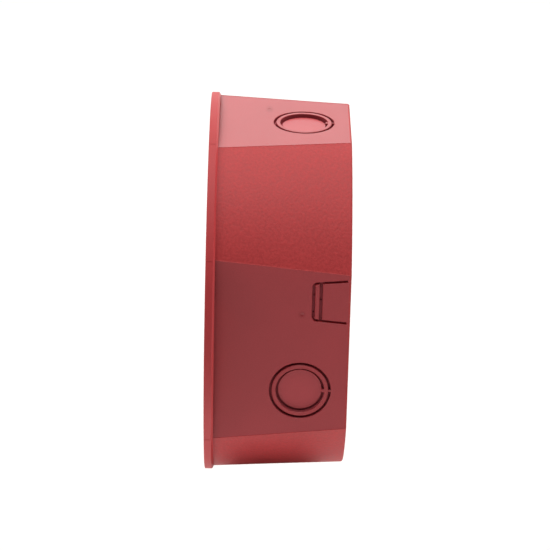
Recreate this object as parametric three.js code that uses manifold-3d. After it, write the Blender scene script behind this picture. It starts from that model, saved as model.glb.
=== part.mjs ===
// Fire alarm bell in a round moulded surface housing.
//
// A deep red housing with a thicker rim round its mouth is screwed flat to the wall. Its side is a
// slightly tapered drum with four flats, and the flats carry conduit and raceway knock-outs. Inside,
// a steel chassis on four bosses holds the gong on its post, the solenoid striker under the gong,
// the driver board and the terminal block. The striker is the one moving part.
//
// The finished part stands in its own frame: origin at the centre of the wall face, the mouth faces
// -Y, up is +Z. It is drawn lying on its back (x to the right, y up the wall, z from the wall to the
// mouth), and the last lines turn the whole group upright. All sizes are in millimetres.

import * as THREE from "three";
import { mergeVertices } from "three/addons/utils/BufferGeometryUtils.js";
import Module from "manifold-3d";

const wasm = await Module();
wasm.setup();

// ---- Driving dimensions -------------------------------------------------------------------------

const GAP = 0.3; // left between two pieces that touch
const QUARTER_TURN = Math.PI / 2;

const housing = {
  depth: 65.4, rimRadius: 90, rimBand: 2.9, rimChamfer: 1.4,
  backRadius: 85.5, frontRadius: 88.6, backChamfer: 1,
  wideFlat: 76.3, narrowFlat: 81.8, wall: 2.5, floor: 3,
};
const knockOut = {
  height: 21.8, outerRadius: 14.1, innerRadius: 11.1, groove: 1.15, grooveDepth: 1.7, discDepth: 1.1,
};
const sideKnockOutOffset = -19.4;
const raceway = {
  offset: 25.2, frontWidth: 19.1, backWidth: 21.9, front: 17.4, back: 1, groove: 1.1, frontGroove: 1.3,
  innerGroove: [12.7, 14.1], grooveDepth: 1.6, innerGrooveDepth: 0.7,
};
const mouldMark = { radius: 0.9, depth: 0.25 };
const boss = {
  radius: 6, pilotRadius: 2.3, pilotFloor: 8, top: 21.7, x: 49.5, y: 57.7,
  ribReach: 8, ribHalf: 1, ribTop: 19,
};
const bossPlaces = [[1, 1], [-1, 1], [-1, -1], [1, -1]].map(([x, y]) => [x * boss.x, y * boss.y]);
const mountingSlot = { length: 12, width: 5, boxSpacing: 83.4, octagonSpacing: 89 };
const rearEntry = { x: 20, y: 24, radius: 11.1 };

const plate = { thickness: 2, radius: 58, earRadius: 7, notchWidth: 20, notchDepth: 3 };
const plateBack = boss.top + GAP;
const plateFront = plateBack + plate.thickness;
const deck = plateFront + GAP; // lowest height of what stands on the chassis

const gong = {
  radius: 63.5, dome: 63, mouth: 31, shoulder: 44, crown: 58.5, thickness: 1.6, seat: 10, hole: 3.9,
};
const post = { radius: 4.5, flangeRadius: 8, flange: 2, studRadius: 3.7, studEnd: 15.5, bore: 3.3 };
const postTop = gong.crown - gong.thickness - GAP - 1.9 - GAP;
const washer = { radius: 9, steelRadius: 8, bore: 3.3, inner: 1.9, outer: 1.2, steel: 1 };

const striker = { axisHeight: 39, rearOffset: 22 };
const frame = { length: 24, thickness: 1.6, halfWidth: 11, hole: 5.6, base: striker.axisHeight - deck };
const coil = { radius: 12, bobbinRadius: 12.4, bobbinWall: 6.6, flange: 1.2 };
const guide = { bore: 4.8, radius: 5.3, flangeRadius: 7.2, flange: 1 };
const plunger = { radius: 4.5, tail: -13.4, front: 12, grooveRadius: 3.4, groove: [-12.9, -11.5] };
const rod = { radius: 2, socket: 2.3, socketDepth: 5, end: 31 };
const tip = { radius: 3.6, back: 27.9, length: 6.2 };
const spring = { radius: 5.35, wire: 0.4, turns: 5 };

const board = { halfWidth: 22, bottom: 13, top: 39, thickness: 1.6, spacer: 3.7, screwX: 18.5, screwY: 26 };
const boardBack = deck + board.spacer + GAP;
const boardFront = boardBack + board.thickness + GAP;
const terminal = { ways: 4, pitch: 8, height: 10.7, bottom: 42, top: 54, well: 2.8, wireHole: 5 };

const finishes = {
  redMoulding: { color: 0xb0383a, roughness: 0.55, metalness: 0 },
  redEnamel: { color: 0xa8191b, roughness: 0.3, metalness: 0 },
  zincPlate: { color: 0xb9bcc0, roughness: 0.4, metalness: 0.9 },
  steel: { color: 0x9a9da1, roughness: 0.35, metalness: 1 },
  brass: { color: 0xb5954e, roughness: 0.35, metalness: 1 },
  copperWinding: { color: 0x8a4a24, roughness: 0.45, metalness: 0.4 },
  nylon: { color: 0xe6e2d6, roughness: 0.5, metalness: 0 },
  rubber: { color: 0x1d1d1e, roughness: 0.85, metalness: 0 },
  boardGreen: { color: 0x1f5a34, roughness: 0.5, metalness: 0 },
  blackPlastic: { color: 0x1a1a1c, roughness: 0.5, metalness: 0 },
  tanCeramic: { color: 0xc9ab7a, roughness: 0.6, metalness: 0 },
  redWire: { color: 0xa3161a, roughness: 0.5, metalness: 0 },
};

// ---- Shapes -------------------------------------------------------------------------------------

// A turned body about the z axis, from points of [radius, height].
function turned(profile, segments = 28) {
  const points = profile.map(([radius, height]) => new THREE.Vector2(radius, height));
  return new THREE.LatheGeometry(points, segments).rotateX(QUARTER_TURN);
}

function round(radius, from, to, segments) {
  return turned([[0, from], [radius, from], [radius, to], [0, to]], segments);
}

function tube(inner, outer, from, to, segments) {
  return turned([[inner, from], [outer, from], [outer, to], [inner, to], [inner, from]], segments);
}

function block([x0, x1], [y0, y1], [z0, z1]) {
  const box = new THREE.BoxGeometry(x1 - x0, y1 - y0, z1 - z0);
  return box.translate((x0 + x1) / 2, (y0 + y1) / 2, (z0 + z1) / 2);
}

function prism(shape, from, to, curveSegments = 8) {
  const options = { depth: to - from, bevelEnabled: false, curveSegments };
  return new THREE.ExtrudeGeometry(shape, options).translate(0, 0, from);
}

// Six times the volume that the triangles enclose; it is negative when they face inwards.
function enclosed(position, triangles) {
  const corner = (i) => new THREE.Vector3().fromArray(position, 3 * i);
  let sum = 0;
  for (let i = 0; i < triangles.length; i += 3) {
    const [a, b, c] = [corner(triangles[i]), corner(triangles[i + 1]), corner(triangles[i + 2])];
    sum += a.dot(b.cross(c));
  }
  return sum;
}

// A closed solid from a geometry, ready to be joined and cut.
function solid(geometry) {
  const bare = geometry.clone();
  bare.deleteAttribute("normal");
  bare.deleteAttribute("uv");
  const merged = mergeVertices(bare, 1e-4);
  const position = merged.attributes.position.array;
  const index = merged.index.array;
  const triangles = [];
  for (let i = 0; i < index.length; i += 3) {
    const [a, b, c] = [index[i], index[i + 1], index[i + 2]];
    if (a !== b && b !== c && c !== a) triangles.push(a, b, c);
  }
  if (enclosed(position, triangles) < 0) triangles.reverse();
  const vertProperties = Float32Array.from(position);
  const triVerts = Uint32Array.from(triangles);
  return new wasm.Manifold(new wasm.Mesh({ numProp: 3, vertProperties, triVerts }));
}

function join(...geometries) {
  return geometries.map(solid).reduce((whole, next) => whole.add(next));
}

function cut(body, ...tools) {
  return tools.map(solid).reduce((rest, tool) => rest.subtract(tool), body);
}

function piece(name, body, finish) {
  const { vertProperties, triVerts } = body.getMesh();
  const geometry = new THREE.BufferGeometry();
  geometry.setAttribute("position", new THREE.BufferAttribute(vertProperties, 3));
  geometry.setIndex(new THREE.BufferAttribute(triVerts, 1));
  geometry.computeVertexNormals();
  const mesh = new THREE.Mesh(geometry, new THREE.MeshStandardMaterial({ name, ...finishes[finish] }));
  mesh.name = name;
  return mesh;
}

function placed(mesh, x, y, z = 0) {
  mesh.position.set(x, y, z);
  return mesh;
}

function hexagon(acrossFlats) {
  const radius = acrossFlats / Math.sqrt(3);
  const corners = [0, 1, 2, 3, 4, 5].map((i) => {
    const angle = (i * Math.PI) / 3;
    return new THREE.Vector2(radius * Math.cos(angle), radius * Math.sin(angle));
  });
  return new THREE.Shape(corners);
}

// A slot with round ends, its long side along x.
function slotShape(length, width) {
  const reach = (length - width) / 2;
  const shape = new THREE.Shape();
  shape.absarc(reach, 0, width / 2, -QUARTER_TURN, QUARTER_TURN, false);
  shape.absarc(-reach, 0, width / 2, QUARTER_TURN, 3 * QUARTER_TURN, false);
  return shape;
}

// A machine screw along z: the head sits on `seat` and faces +z, and the shank runs down to `end`.
function screw(headRadius, headHeight, shankRadius, seat, end) {
  const top = seat + headHeight;
  const crown = 0.25 * headHeight;
  const body = turned([
    [0, end], [shankRadius, end], [shankRadius, seat], [headRadius, seat],
    [headRadius, top - crown], [0.75 * headRadius, top], [0, top],
  ], 16);
  const slotWidth = 0.14 * headRadius;
  const slotFloor = top - 0.45 * headHeight;
  const slot = block([-headRadius, headRadius], [-slotWidth, slotWidth], [slotFloor, top + 1]);
  return cut(solid(body), slot);
}

// ---- Housing ------------------------------------------------------------------------------------

const fourFlats = [0, 1, 2, 3].map((i) => i * QUARTER_TURN); // +x, +y, -x, -y

// Puts a tool drawn on a flat (x along the flat, y from the wall to the mouth, z outwards with 0 on
// the flat's surface) onto the flat that faces `angle`.
function onFlat(tool, angle) {
  const isWide = Math.abs(Math.cos(angle)) > 0.5;
  const axes = new THREE.Matrix4().makeBasis(
    new THREE.Vector3(0, 1, 0), new THREE.Vector3(0, 0, 1), new THREE.Vector3(1, 0, 0));
  tool.applyMatrix4(axes);
  return tool.translate(isWide ? housing.wideFlat : housing.narrowFlat, 0, 0).rotateZ(angle);
}

function knockOutTools(offset) {
  const ring = (radius) => tube(radius - knockOut.groove, radius, -knockOut.grooveDepth, 1);
  const disc = round(knockOut.innerRadius - knockOut.groove / 2, -knockOut.discDepth, 1);
  const tools = [ring(knockOut.outerRadius), ring(knockOut.innerRadius), disc];
  return tools.map((tool) => tool.translate(offset, knockOut.height, 0));
}

// The raceway's break-out panel: a tapered outline open towards the wall, and one cross groove.
function racewayTools(offset) {
  const outline = (inset, front) => [
    [-raceway.backWidth / 2 + inset, raceway.back], [-raceway.frontWidth / 2 + inset, front],
    [raceway.frontWidth / 2 - inset, front], [raceway.backWidth / 2 - inset, raceway.back],
  ].map(([x, y]) => new THREE.Vector2(x, y));
  const outer = outline(0, raceway.front);
  const inner = outline(raceway.groove, raceway.front - raceway.frontGroove).reverse();
  const band = new THREE.Shape([...outer, ...inner]);
  const reach = raceway.frontWidth / 2 - raceway.groove / 2;
  const cross = block([-reach, reach], raceway.innerGroove, [-raceway.innerGrooveDepth, 1]);
  return [prism(band, -raceway.grooveDepth, 1), cross].map((tool) => tool.translate(offset, 0, 0));
}

function markTool(offset, height) {
  return round(mouldMark.radius, -mouldMark.depth, 1, 12).translate(offset, height, 0);
}

function flatTools(angle) {
  if (Math.abs(Math.cos(angle)) < 0.5) return [...knockOutTools(0), markTool(16.3, 37.9)];
  const up = Math.cos(angle) > 0 ? 1 : -1; // both wide flats carry the raceway above the knock-out
  return [...knockOutTools(up * sideKnockOutOffset), ...racewayTools(up * raceway.offset),
    markTool(up * 18.8, 21.7)];
}

const drumSegments = 64;

function drum(backRadius, frontRadius, from, to, chamfer, halfX, halfY) {
  const profile = [[0, from], [backRadius - chamfer, from], [backRadius, from + chamfer]];
  if (chamfer === 0) profile.splice(1, 1);
  const cone = solid(turned([...profile, [frontRadius, to], [0, to]], drumSegments));
  return cone.intersect(solid(block([-halfX, halfX], [-halfY, halfY], [from - 1, to + 1])));
}

function backBox() {
  const { depth, rimRadius, rimBand, rimChamfer, wall, floor } = housing;
  const neck = depth - rimBand - rimChamfer;
  const body = drum(housing.backRadius, housing.frontRadius, 0, neck + 1, housing.backChamfer,
    housing.wideFlat, housing.narrowFlat);
  const rim = turned([[0, neck], [rimRadius - rimChamfer, neck], [rimRadius, neck + rimChamfer],
    [rimRadius, depth], [0, depth]], drumSegments);
  const hollow = drum(housing.backRadius - wall, housing.frontRadius - wall, floor, depth + 1, 0,
    housing.wideFlat - wall, housing.narrowFlat - wall);
  let box = body.add(solid(rim)).subtract(hollow);

  const { ribReach, ribHalf, ribTop, pilotRadius, pilotFloor } = boss;
  for (const [x, y] of bossPlaces) {
    const rib = block([boss.radius - 1, ribReach], [-ribHalf, ribHalf], [floor - 1, ribTop]);
    const pillar = round(boss.radius, floor - 1, boss.top, 24);
    box = box.add(solid(pillar.translate(x, y, 0)));
    box = box.add(solid(rib.translate(Math.hypot(x, y), 0, 0).rotateZ(Math.atan2(y, x))));
    box = cut(box, round(pilotRadius, pilotFloor, boss.top + 1, 16).translate(x, y, 0));
  }
  for (const angle of fourFlats) box = cut(box, ...flatTools(angle).map((tool) => onFlat(tool, angle)));

  const slot = () => prism(slotShape(mountingSlot.length, mountingSlot.width), -1, floor + 1, 6);
  const ends = [-1, 1];
  box = cut(box, ...ends.map((end) => slot().translate((end * mountingSlot.boxSpacing) / 2, 0, 0)));
  box = cut(box, ...ends.map((end) => {
    return slot().rotateZ(QUARTER_TURN).translate(0, (end * mountingSlot.octagonSpacing) / 2, 0);
  }));
  const rear = tube(rearEntry.radius - knockOut.groove, rearEntry.radius, -1, knockOut.grooveDepth);
  return piece("back_box", cut(box, rear.translate(rearEntry.x, rearEntry.y, 0)), "redMoulding");
}

// ---- Chassis ------------------------------------------------------------------------------------

const solenoidScrewPlaces = [6, 18].map((along) => -striker.rearOffset - along);
const boardScrewPlaces = [-board.screwX, board.screwX];
const earthPlace = [-40, 0];

function chassisPlate() {
  const reach = Math.hypot(boss.x, boss.y);
  let sheet = solid(round(plate.radius, plateBack, plateFront, 48));
  for (const [x, y] of bossPlaces) {
    const ear = slotShape(reach + 2 * plate.earRadius, 2 * plate.earRadius);
    const strap = prism(ear, plateBack, plateFront).translate(reach / 2, 0, 0).rotateZ(Math.atan2(y, x));
    sheet = sheet.add(solid(strap));
    sheet = cut(sheet, hole(2.5, x, y));
  }
  const notchHalf = plate.notchWidth / 2;
  const notch = [plate.radius - plate.notchDepth, plate.radius + 1];
  sheet = cut(sheet, block([-notchHalf, notchHalf], notch, [plateBack - 1, plateFront + 1]));
  sheet = cut(sheet, hole(post.studRadius + GAP, 0, 0), hole(2, ...earthPlace));
  sheet = cut(sheet, ...solenoidScrewPlaces.map((y) => hole(1.8, 0, y)));
  sheet = cut(sheet, ...boardScrewPlaces.map((x) => hole(1.8, x, board.screwY)));
  return piece("chassis_plate", sheet, "zincPlate");
}

function hole(radius, x, y) {
  return round(radius, plateBack - 1, plateFront + 1, 16).translate(x, y, 0);
}

function chassisScrews() {
  return bossPlaces.map(([x, y], i) => {
    const body = screw(4.2, 2.6, 2, deck, boss.pilotFloor + 2);
    return placed(piece(`chassis_screw_${i + 1}`, body, "zincPlate"), x, y);
  });
}

function earthTerminal() {
  const cupWasher = piece("earth_washer", solid(tube(2, 4.5, deck, deck + 1, 16)), "zincPlate");
  const body = screw(3.4, 2.4, 1.7, deck + 1 + GAP, 18);
  return [placed(cupWasher, ...earthPlace), placed(piece("earth_screw", body, "brass"), ...earthPlace)];
}

// ---- Gong and its post --------------------------------------------------------------------------

function domeCurve(radius, crown) {
  const steps = 7;
  const last = Math.acos(gong.seat / radius);
  const curve = [];
  for (let i = 0; i <= steps; i += 1) {
    const angle = (last * i) / steps;
    curve.push([radius * Math.cos(angle), gong.shoulder + (crown - gong.shoulder) * Math.sin(angle)]);
  }
  return curve;
}

function gongShell() {
  const underside = gong.crown - gong.thickness;
  const outer = [[gong.radius, gong.mouth], ...domeCurve(gong.dome, gong.crown), [gong.hole, gong.crown]];
  const inner = [[gong.radius - gong.thickness, gong.mouth],
    ...domeCurve(gong.dome - gong.thickness, underside), [gong.hole, underside]];
  const profile = [...outer, ...inner.reverse(), outer[0]];
  return piece("gong", solid(turned(profile, 56)), "redEnamel");
}

function gongPost() {
  const flangeTop = deck + post.flange;
  const body = turned([
    [0, post.studEnd], [post.studRadius, post.studEnd], [post.studRadius, deck], [post.flangeRadius, deck],
    [post.flangeRadius, flangeTop], [post.radius, flangeTop], [post.radius, postTop], [post.bore, postTop],
    [post.bore, striker.axisHeight + 1], [0, striker.axisHeight + 1],
  ]);
  const nutBlank = solid(prism(hexagon(13), post.studEnd + 1, boss.top));
  const nut = cut(nutBlank, round(post.studRadius + GAP, 0, boss.top + 1));
  return [piece("gong_post", solid(body), "zincPlate"), piece("post_nut", nut, "zincPlate")];
}

function gongFixings() {
  const innerBase = postTop + GAP;
  const outerBase = gong.crown + GAP;
  const steelBase = outerBase + washer.outer + GAP;
  const headBase = steelBase + washer.steel + GAP;
  const ring = (radius, from, height) => solid(tube(washer.bore, radius, from, from + height, 20));
  return [
    piece("gong_washer_inner", ring(washer.radius, innerBase, washer.inner), "rubber"),
    piece("gong_washer_outer", ring(washer.radius, outerBase, washer.outer), "rubber"),
    piece("gong_washer_steel", ring(washer.steelRadius, steelBase, washer.steel), "zincPlate"),
    piece("gong_screw", screw(5.2, 3, 3, headBase, striker.axisHeight + 2), "zincPlate"),
  ];
}

// ---- Striker ------------------------------------------------------------------------------------
// Drawn in its own frame: z runs along the stroke from the frame's rear cheek towards the gong's
// skirt, y points to the gong's crown. The group turns z down and carries the whole striker.

function solenoidFrame() {
  const { length, thickness, halfWidth, hole: bore, base } = frame;
  const cheekShape = new THREE.Shape();
  cheekShape.moveTo(-halfWidth, -base);
  cheekShape.lineTo(halfWidth, -base);
  cheekShape.lineTo(halfWidth, 0);
  cheekShape.absarc(0, 0, halfWidth, 0, Math.PI, false);
  const cheek = (from) => prism(cheekShape, from, from + thickness);
  const sole = block([-halfWidth, halfWidth], [-base, thickness - base], [0, length]);
  const body = join(sole, cheek(0), cheek(length - thickness));
  const threads = solenoidScrewPlaces.map((y) => {
    return round(1.8, -base - 1, thickness - base + 1, 12).rotateX(-QUARTER_TURN)
      .translate(0, 0, -striker.rearOffset - y);
  });
  return piece("solenoid_frame", cut(body, round(bore, -1, length + 1), ...threads), "zincPlate");
}

function solenoidBobbin() {
  const rear = frame.thickness + GAP;
  const front = frame.length - frame.thickness - GAP;
  const { bobbinRadius, bobbinWall, flange } = coil;
  const profile = [
    [frame.hole, rear], [bobbinRadius, rear], [bobbinRadius, rear + flange], [bobbinWall, rear + flange],
    [bobbinWall, front - flange], [bobbinRadius, front - flange], [bobbinRadius, front],
    [frame.hole, front], [frame.hole, rear],
  ];
  const winding = tube(bobbinWall + GAP, coil.radius, rear + flange + GAP, front - flange - GAP);
  return [piece("solenoid_bobbin", solid(turned(profile)), "nylon"),
    piece("solenoid_coil", solid(winding), "copperWinding")];
}

const guideFront = frame.length + 1.6;
const bumperFront = guideFront + 2;

function guideTube() {
  const { bore, radius, flangeRadius, flange } = guide;
  const profile = [
    [bore, -GAP - flange], [flangeRadius, -GAP - flange], [flangeRadius, -GAP], [radius, -GAP],
    [radius, guideFront], [bore, guideFront], [bore, -GAP - flange],
  ];
  return piece("guide_tube", solid(turned(profile, 20)), "brass");
}

function stopBumper() {
  const socket = guide.radius + GAP;
  const rear = frame.length + GAP;
  const rodHole = rod.radius + 0.4;
  const profile = [
    [socket, rear], [guide.flangeRadius, rear], [guide.flangeRadius, bumperFront], [rodHole, bumperFront],
    [rodHole, guideFront + GAP], [socket, guideFront + GAP], [socket, rear],
  ];
  return piece("stop_bumper", solid(turned(profile, 20)), "rubber");
}

function plungerBody() {
  const { radius, tail, front, grooveRadius, groove } = plunger;
  const edge = 0.3;
  const socketFloor = front - rod.socketDepth;
  const profile = [
    [0, tail], [radius - edge, tail], [radius, tail + edge], [radius, groove[0]], [grooveRadius, groove[0]],
    [grooveRadius, groove[1]], [radius, groove[1]], [radius, front], [rod.socket, front],
    [rod.socket, socketFloor], [0, socketFloor],
  ];
  return piece("plunger", solid(turned(profile, 20)), "steel");
}

function strikerRod() {
  const rear = plunger.front - rod.socketDepth + GAP;
  return piece("striker_rod", solid(round(rod.radius, rear, rod.end, 16)), "brass");
}

function strikerTip() {
  const { radius, back, length } = tip;
  const front = back + length;
  const profile = [
    [0, rod.end + GAP], [rod.socket, rod.end + GAP], [rod.socket, back], [radius, back],
    [radius, front - 0.34 * length], [0.86 * radius, front - 0.16 * length],
    [0.55 * radius, front - 0.04 * length], [0, front],
  ];
  return piece("striker_tip", solid(turned(profile, 20)), "nylon");
}

// A snap ring in the plunger's tail groove, open towards the gong's crown.
function springClip() {
  const [grooveBack, grooveFront] = plunger.groove;
  const opening = 0.5;
  const inner = plunger.grooveRadius + GAP;
  const start = QUARTER_TURN + opening;
  const end = QUARTER_TURN - opening + 2 * Math.PI;
  const shape = new THREE.Shape();
  shape.absarc(0, 0, 6.2, start, end, false);
  shape.absarc(0, 0, inner, end, start, true);
  return piece("spring_clip", solid(prism(shape, grooveBack + GAP, grooveFront - GAP)), "steel");
}

class Helix extends THREE.Curve {
  constructor(radius, from, to, turns) {
    super();
    Object.assign(this, { radius, from, to, turns });
  }

  getPoint(t, target = new THREE.Vector3()) {
    const angle = 2 * Math.PI * this.turns * t;
    const height = this.from + (this.to - this.from) * t;
    return target.set(this.radius * Math.cos(angle), this.radius * Math.sin(angle), height);
  }
}

function wire(curve, radius, steps, sides) {
  const section = new THREE.Shape();
  for (let i = 0; i < sides; i += 1) {
    const angle = (2 * Math.PI * i) / sides;
    const corner = [radius * Math.cos(angle), radius * Math.sin(angle)];
    if (i === 0) section.moveTo(...corner);
    else section.lineTo(...corner);
  }
  return new THREE.ExtrudeGeometry(section, { steps, extrudePath: curve });
}

function returnSpring() {
  const flangeFace = -2 * GAP - guide.flange;
  const clipFace = plunger.groove[1];
  const path = new Helix(spring.radius, clipFace + spring.wire, flangeFace - spring.wire, spring.turns);
  return piece("return_spring", solid(wire(path, spring.wire, 12 * spring.turns, 6)), "steel");
}

function strikerAssembly() {
  const group = new THREE.Group();
  group.add(solenoidFrame(), ...solenoidBobbin(), guideTube(), stopBumper());
  group.add(plungerBody(), strikerRod(), strikerTip(), springClip(), returnSpring());
  group.rotation.x = QUARTER_TURN;
  group.position.set(0, -striker.rearOffset, striker.axisHeight);
  return group;
}

// The two screws come up through the chassis from behind, so they are drawn head down.
function solenoidScrews() {
  return solenoidScrewPlaces.map((y, i) => {
    const mesh = piece(`solenoid_screw_${i + 1}`, screw(3.2, 2.2, 1.5, 0, -4.4), "zincPlate");
    mesh.rotation.x = Math.PI;
    return placed(mesh, 0, y, boss.top);
  });
}

// ---- Driver board -------------------------------------------------------------------------------

// A leaded component lying along x, with its leads out of both ends.
function axialPart(radius, length, lead) {
  const body = round(radius, -length / 2, length / 2, 16);
  const leads = round(0.4, -length / 2 - lead, length / 2 + lead, 8);
  return join(body.rotateY(QUARTER_TURN), leads.rotateY(QUARTER_TURN));
}

function driverBoard() {
  const { halfWidth, bottom, top, thickness, screwY } = board;
  const sheet = block([-halfWidth, halfWidth], [bottom, top], [boardBack, boardBack + thickness]);
  const holes = boardScrewPlaces.map((x) => {
    return round(1.8, boardBack - 1, boardFront, 16).translate(x, screwY, 0);
  });
  const transistorBody = block([-5, 5], [0, 4.4], [boardFront, boardFront + 8]);
  const transistorTab = block([-5, 5], [0, 1.3], [boardFront + 7, boardFront + 13]);
  const canTop = boardFront + 11;
  const can = turned([[0, boardFront], [5, boardFront], [5, canTop - 0.6], [4.4, canTop], [0, canTop]], 24);
  const parts = [
    piece("circuit_board", cut(solid(sheet), ...holes), "boardGreen"),
    placed(piece("capacitor", solid(can), "blackPlastic"), -9, 27),
    placed(piece("drive_transistor", join(transistorBody, transistorTab), "blackPlastic"), 8, 33),
    placed(piece("flyback_diode", axialPart(1.6, 6, 2), "blackPlastic"), 8, 20, boardFront + 1.6),
    placed(piece("resistor", axialPart(1.2, 6.4, 2), "tanCeramic"), 8, 26.5, boardFront + 1.2),
  ];
  boardScrewPlaces.forEach((x, i) => {
    const ring = solid(tube(1.8, 3.2, deck, deck + board.spacer, 16));
    const spacer = piece(`board_spacer_${i + 1}`, ring, "nylon");
    const body = screw(2.9, 2, 1.5, boardFront, plateBack + 0.2);
    const fixing = piece(`board_screw_${i + 1}`, body, "zincPlate");
    parts.push(placed(spacer, x, screwY), placed(fixing, x, screwY));
  });
  return parts;
}

function terminalBlock() {
  const { ways, pitch, height, bottom, top, well, wireHole } = terminal;
  const half = (ways * pitch) / 2 + 1;
  const face = deck + height;
  const wellFloor = deck + 4;
  const centre = (bottom + top) / 2;
  const places = Array.from({ length: ways }, (_, i) => (i - (ways - 1) / 2) * pitch);
  const wells = places.map((x) => round(well, wellFloor, face + 1, 16).translate(x, centre, 0));
  const entries = places.map((x) => {
    const side = [x - wireHole / 2, x + wireHole / 2];
    return block(side, [centre, top + 1], [deck + 1.2, deck + 1.2 + wireHole]);
  });
  const moulding = cut(solid(block([-half, half], [bottom, top], [deck, face])), ...wells, ...entries);
  const screws = places.map((x, i) => {
    const body = screw(2.4, 1.8, 1.5, face - 3.4, wellFloor + GAP);
    return placed(piece(`terminal_screw_${i + 1}`, body, "brass"), x, centre);
  });
  return [piece("terminal_block", moulding, "blackPlastic"), ...screws];
}

// The two winding tails leave the coil beside the rear cheek, pass the post and end on the board.
function coilLeads() {
  const radius = 0.7;
  const landing = boardFront + radius;
  return [["red", 1, "redWire"], ["black", -1, "blackPlastic"]].map(([colour, side, finish]) => {
    const path = new THREE.CatmullRomCurve3([
      new THREE.Vector3(13.4 * side, -27, 36), new THREE.Vector3(13.8 * side, -21, 33.5),
      new THREE.Vector3(11 * side, -10, 30), new THREE.Vector3(8 * side, 2, 30),
      new THREE.Vector3(6.4 * side, 11, landing + 0.6), new THREE.Vector3(6 * side, 16.5, landing),
    ]);
    return piece(`coil_lead_${colour}`, solid(wire(path, radius, 16, 8)), finish);
  });
}

// ---- The whole bell -----------------------------------------------------------------------------

const bell = new THREE.Group();
bell.name = "fire_alarm_bell";
bell.add(backBox(), chassisPlate(), ...chassisScrews(), ...earthTerminal());
bell.add(gongShell(), ...gongPost(), ...gongFixings());
bell.add(strikerAssembly(), ...solenoidScrews());
bell.add(...driverBoard(), ...terminalBlock(), ...coilLeads());
bell.rotation.x = QUARTER_TURN;

export default bell;
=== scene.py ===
"""The looks of the fire alarm bell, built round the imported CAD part.

Shapes are drawn as in the CAD source, with the bell lying on its back: x to the right, y up the wall
and z from the wall towards the mouth, in millimetres. settle() turns each finished piece upright into
the row frame (metres, origin on the wall face, mouth towards -Y, up +Z) and rides it on its body.
"""

import math

import bmesh
import bpy
from mathutils import Matrix, Vector


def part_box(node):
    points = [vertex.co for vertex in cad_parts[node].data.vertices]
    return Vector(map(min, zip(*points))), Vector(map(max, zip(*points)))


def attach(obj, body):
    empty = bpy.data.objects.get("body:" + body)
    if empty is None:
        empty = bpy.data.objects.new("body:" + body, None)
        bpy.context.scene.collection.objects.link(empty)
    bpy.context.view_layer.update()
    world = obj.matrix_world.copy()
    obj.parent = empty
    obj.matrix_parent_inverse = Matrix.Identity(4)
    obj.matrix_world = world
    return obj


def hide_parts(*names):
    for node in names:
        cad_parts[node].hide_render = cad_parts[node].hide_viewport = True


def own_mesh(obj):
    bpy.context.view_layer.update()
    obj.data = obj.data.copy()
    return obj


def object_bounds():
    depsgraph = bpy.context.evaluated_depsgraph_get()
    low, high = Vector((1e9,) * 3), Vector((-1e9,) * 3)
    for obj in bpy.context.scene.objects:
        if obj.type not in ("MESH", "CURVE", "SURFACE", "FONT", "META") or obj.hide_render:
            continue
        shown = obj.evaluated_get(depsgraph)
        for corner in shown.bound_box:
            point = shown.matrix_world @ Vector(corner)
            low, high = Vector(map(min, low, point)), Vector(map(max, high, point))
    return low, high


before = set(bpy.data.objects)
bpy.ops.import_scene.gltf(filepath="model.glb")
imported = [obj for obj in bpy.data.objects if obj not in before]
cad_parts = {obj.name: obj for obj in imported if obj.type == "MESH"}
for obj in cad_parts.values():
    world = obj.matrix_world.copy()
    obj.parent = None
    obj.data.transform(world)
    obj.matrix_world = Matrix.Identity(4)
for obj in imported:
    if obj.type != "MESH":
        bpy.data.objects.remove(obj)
cad_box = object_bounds()

MM = 0.001
QUARTER, TURN = math.pi / 2, 2 * math.pi
UPRIGHT = Matrix.Rotation(QUARTER, 4, "X") @ Matrix.Scale(MM, 4)
ON_AXIS = 1e-9

# ---- Driving dimensions, in millimetres ---------------------------------------------------------

LOW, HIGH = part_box("back_box")
RIM_RADIUS, DEPTH = (HIGH[0] - LOW[0]) / 2 / MM, (HIGH[1] - LOW[1]) / MM
WALL, FLOOR = 2.5, 3.0
BACK_RADIUS, FRONT_RADIUS = 85.5, 88.5
WIDE_FLAT, NARROW_FLAT = 76.3, 81.8
RIM_BAND, RIM_CHAMFER, CHAMFER_WIDTH = 2.9, 1.4, 0.85
NECK = DEPTH - RIM_BAND - RIM_CHAMFER
FLAT_EDGE_RADIUS, EDGE_RIDGE, BACK_EDGE_RADIUS = 0.8, 0.12, 0.9

KNOCK_OUT_HEIGHT = 21.8
KNOCK_OUT_OUTER, KNOCK_OUT_INNER = 14.1, 11.1
OUTER_GROOVE, INNER_GROOVE = 1.2, 1.3
DISC_RECESS = 1.5
SIDE_KNOCK_OUT_OFFSET, RACEWAY_OFFSET = -19.4, 25.2
RACEWAY_FRONT_WIDTH, RACEWAY_BACK_WIDTH = 19.1, 21.9
RACEWAY_FRONT, RACEWAY_BACK = 17.4, 1.0
GROOVE, FRONT_GROOVE = 1.15, 1.4
ABOVE = 0.3  # how far a cutter reaches past the face that it cuts


# ---- Shapes: (points, faces) in drawing millimetres ---------------------------------------------

def combined(shapes):
    """Several shapes as one, their faces in order."""
    points, faces = [], []
    for shape_points, shape_faces in shapes:
        start = len(points)
        points.extend(shape_points)
        faces.extend([start + i for i in face] for face in shape_faces)
    return points, faces


def moved(shape, matrix):
    points, faces = shape
    return [matrix @ Vector(p) for p in points], faces


def at(shape, x=0.0, y=0.0, z=0.0):
    return moved(shape, Matrix.Translation((x, y, z)))


def spin(angle, axis="Z"):
    return Matrix.Rotation(angle, 4, axis)


def axes(targets):
    """Sends the drawing's x, y and z along the three axes named in order, such as YZX."""
    columns = [[float(axis == target) for axis in "XYZ"] + [0.0] for target in targets]
    return Matrix(columns + [[0.0, 0.0, 0.0, 1.0]]).transposed()


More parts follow.
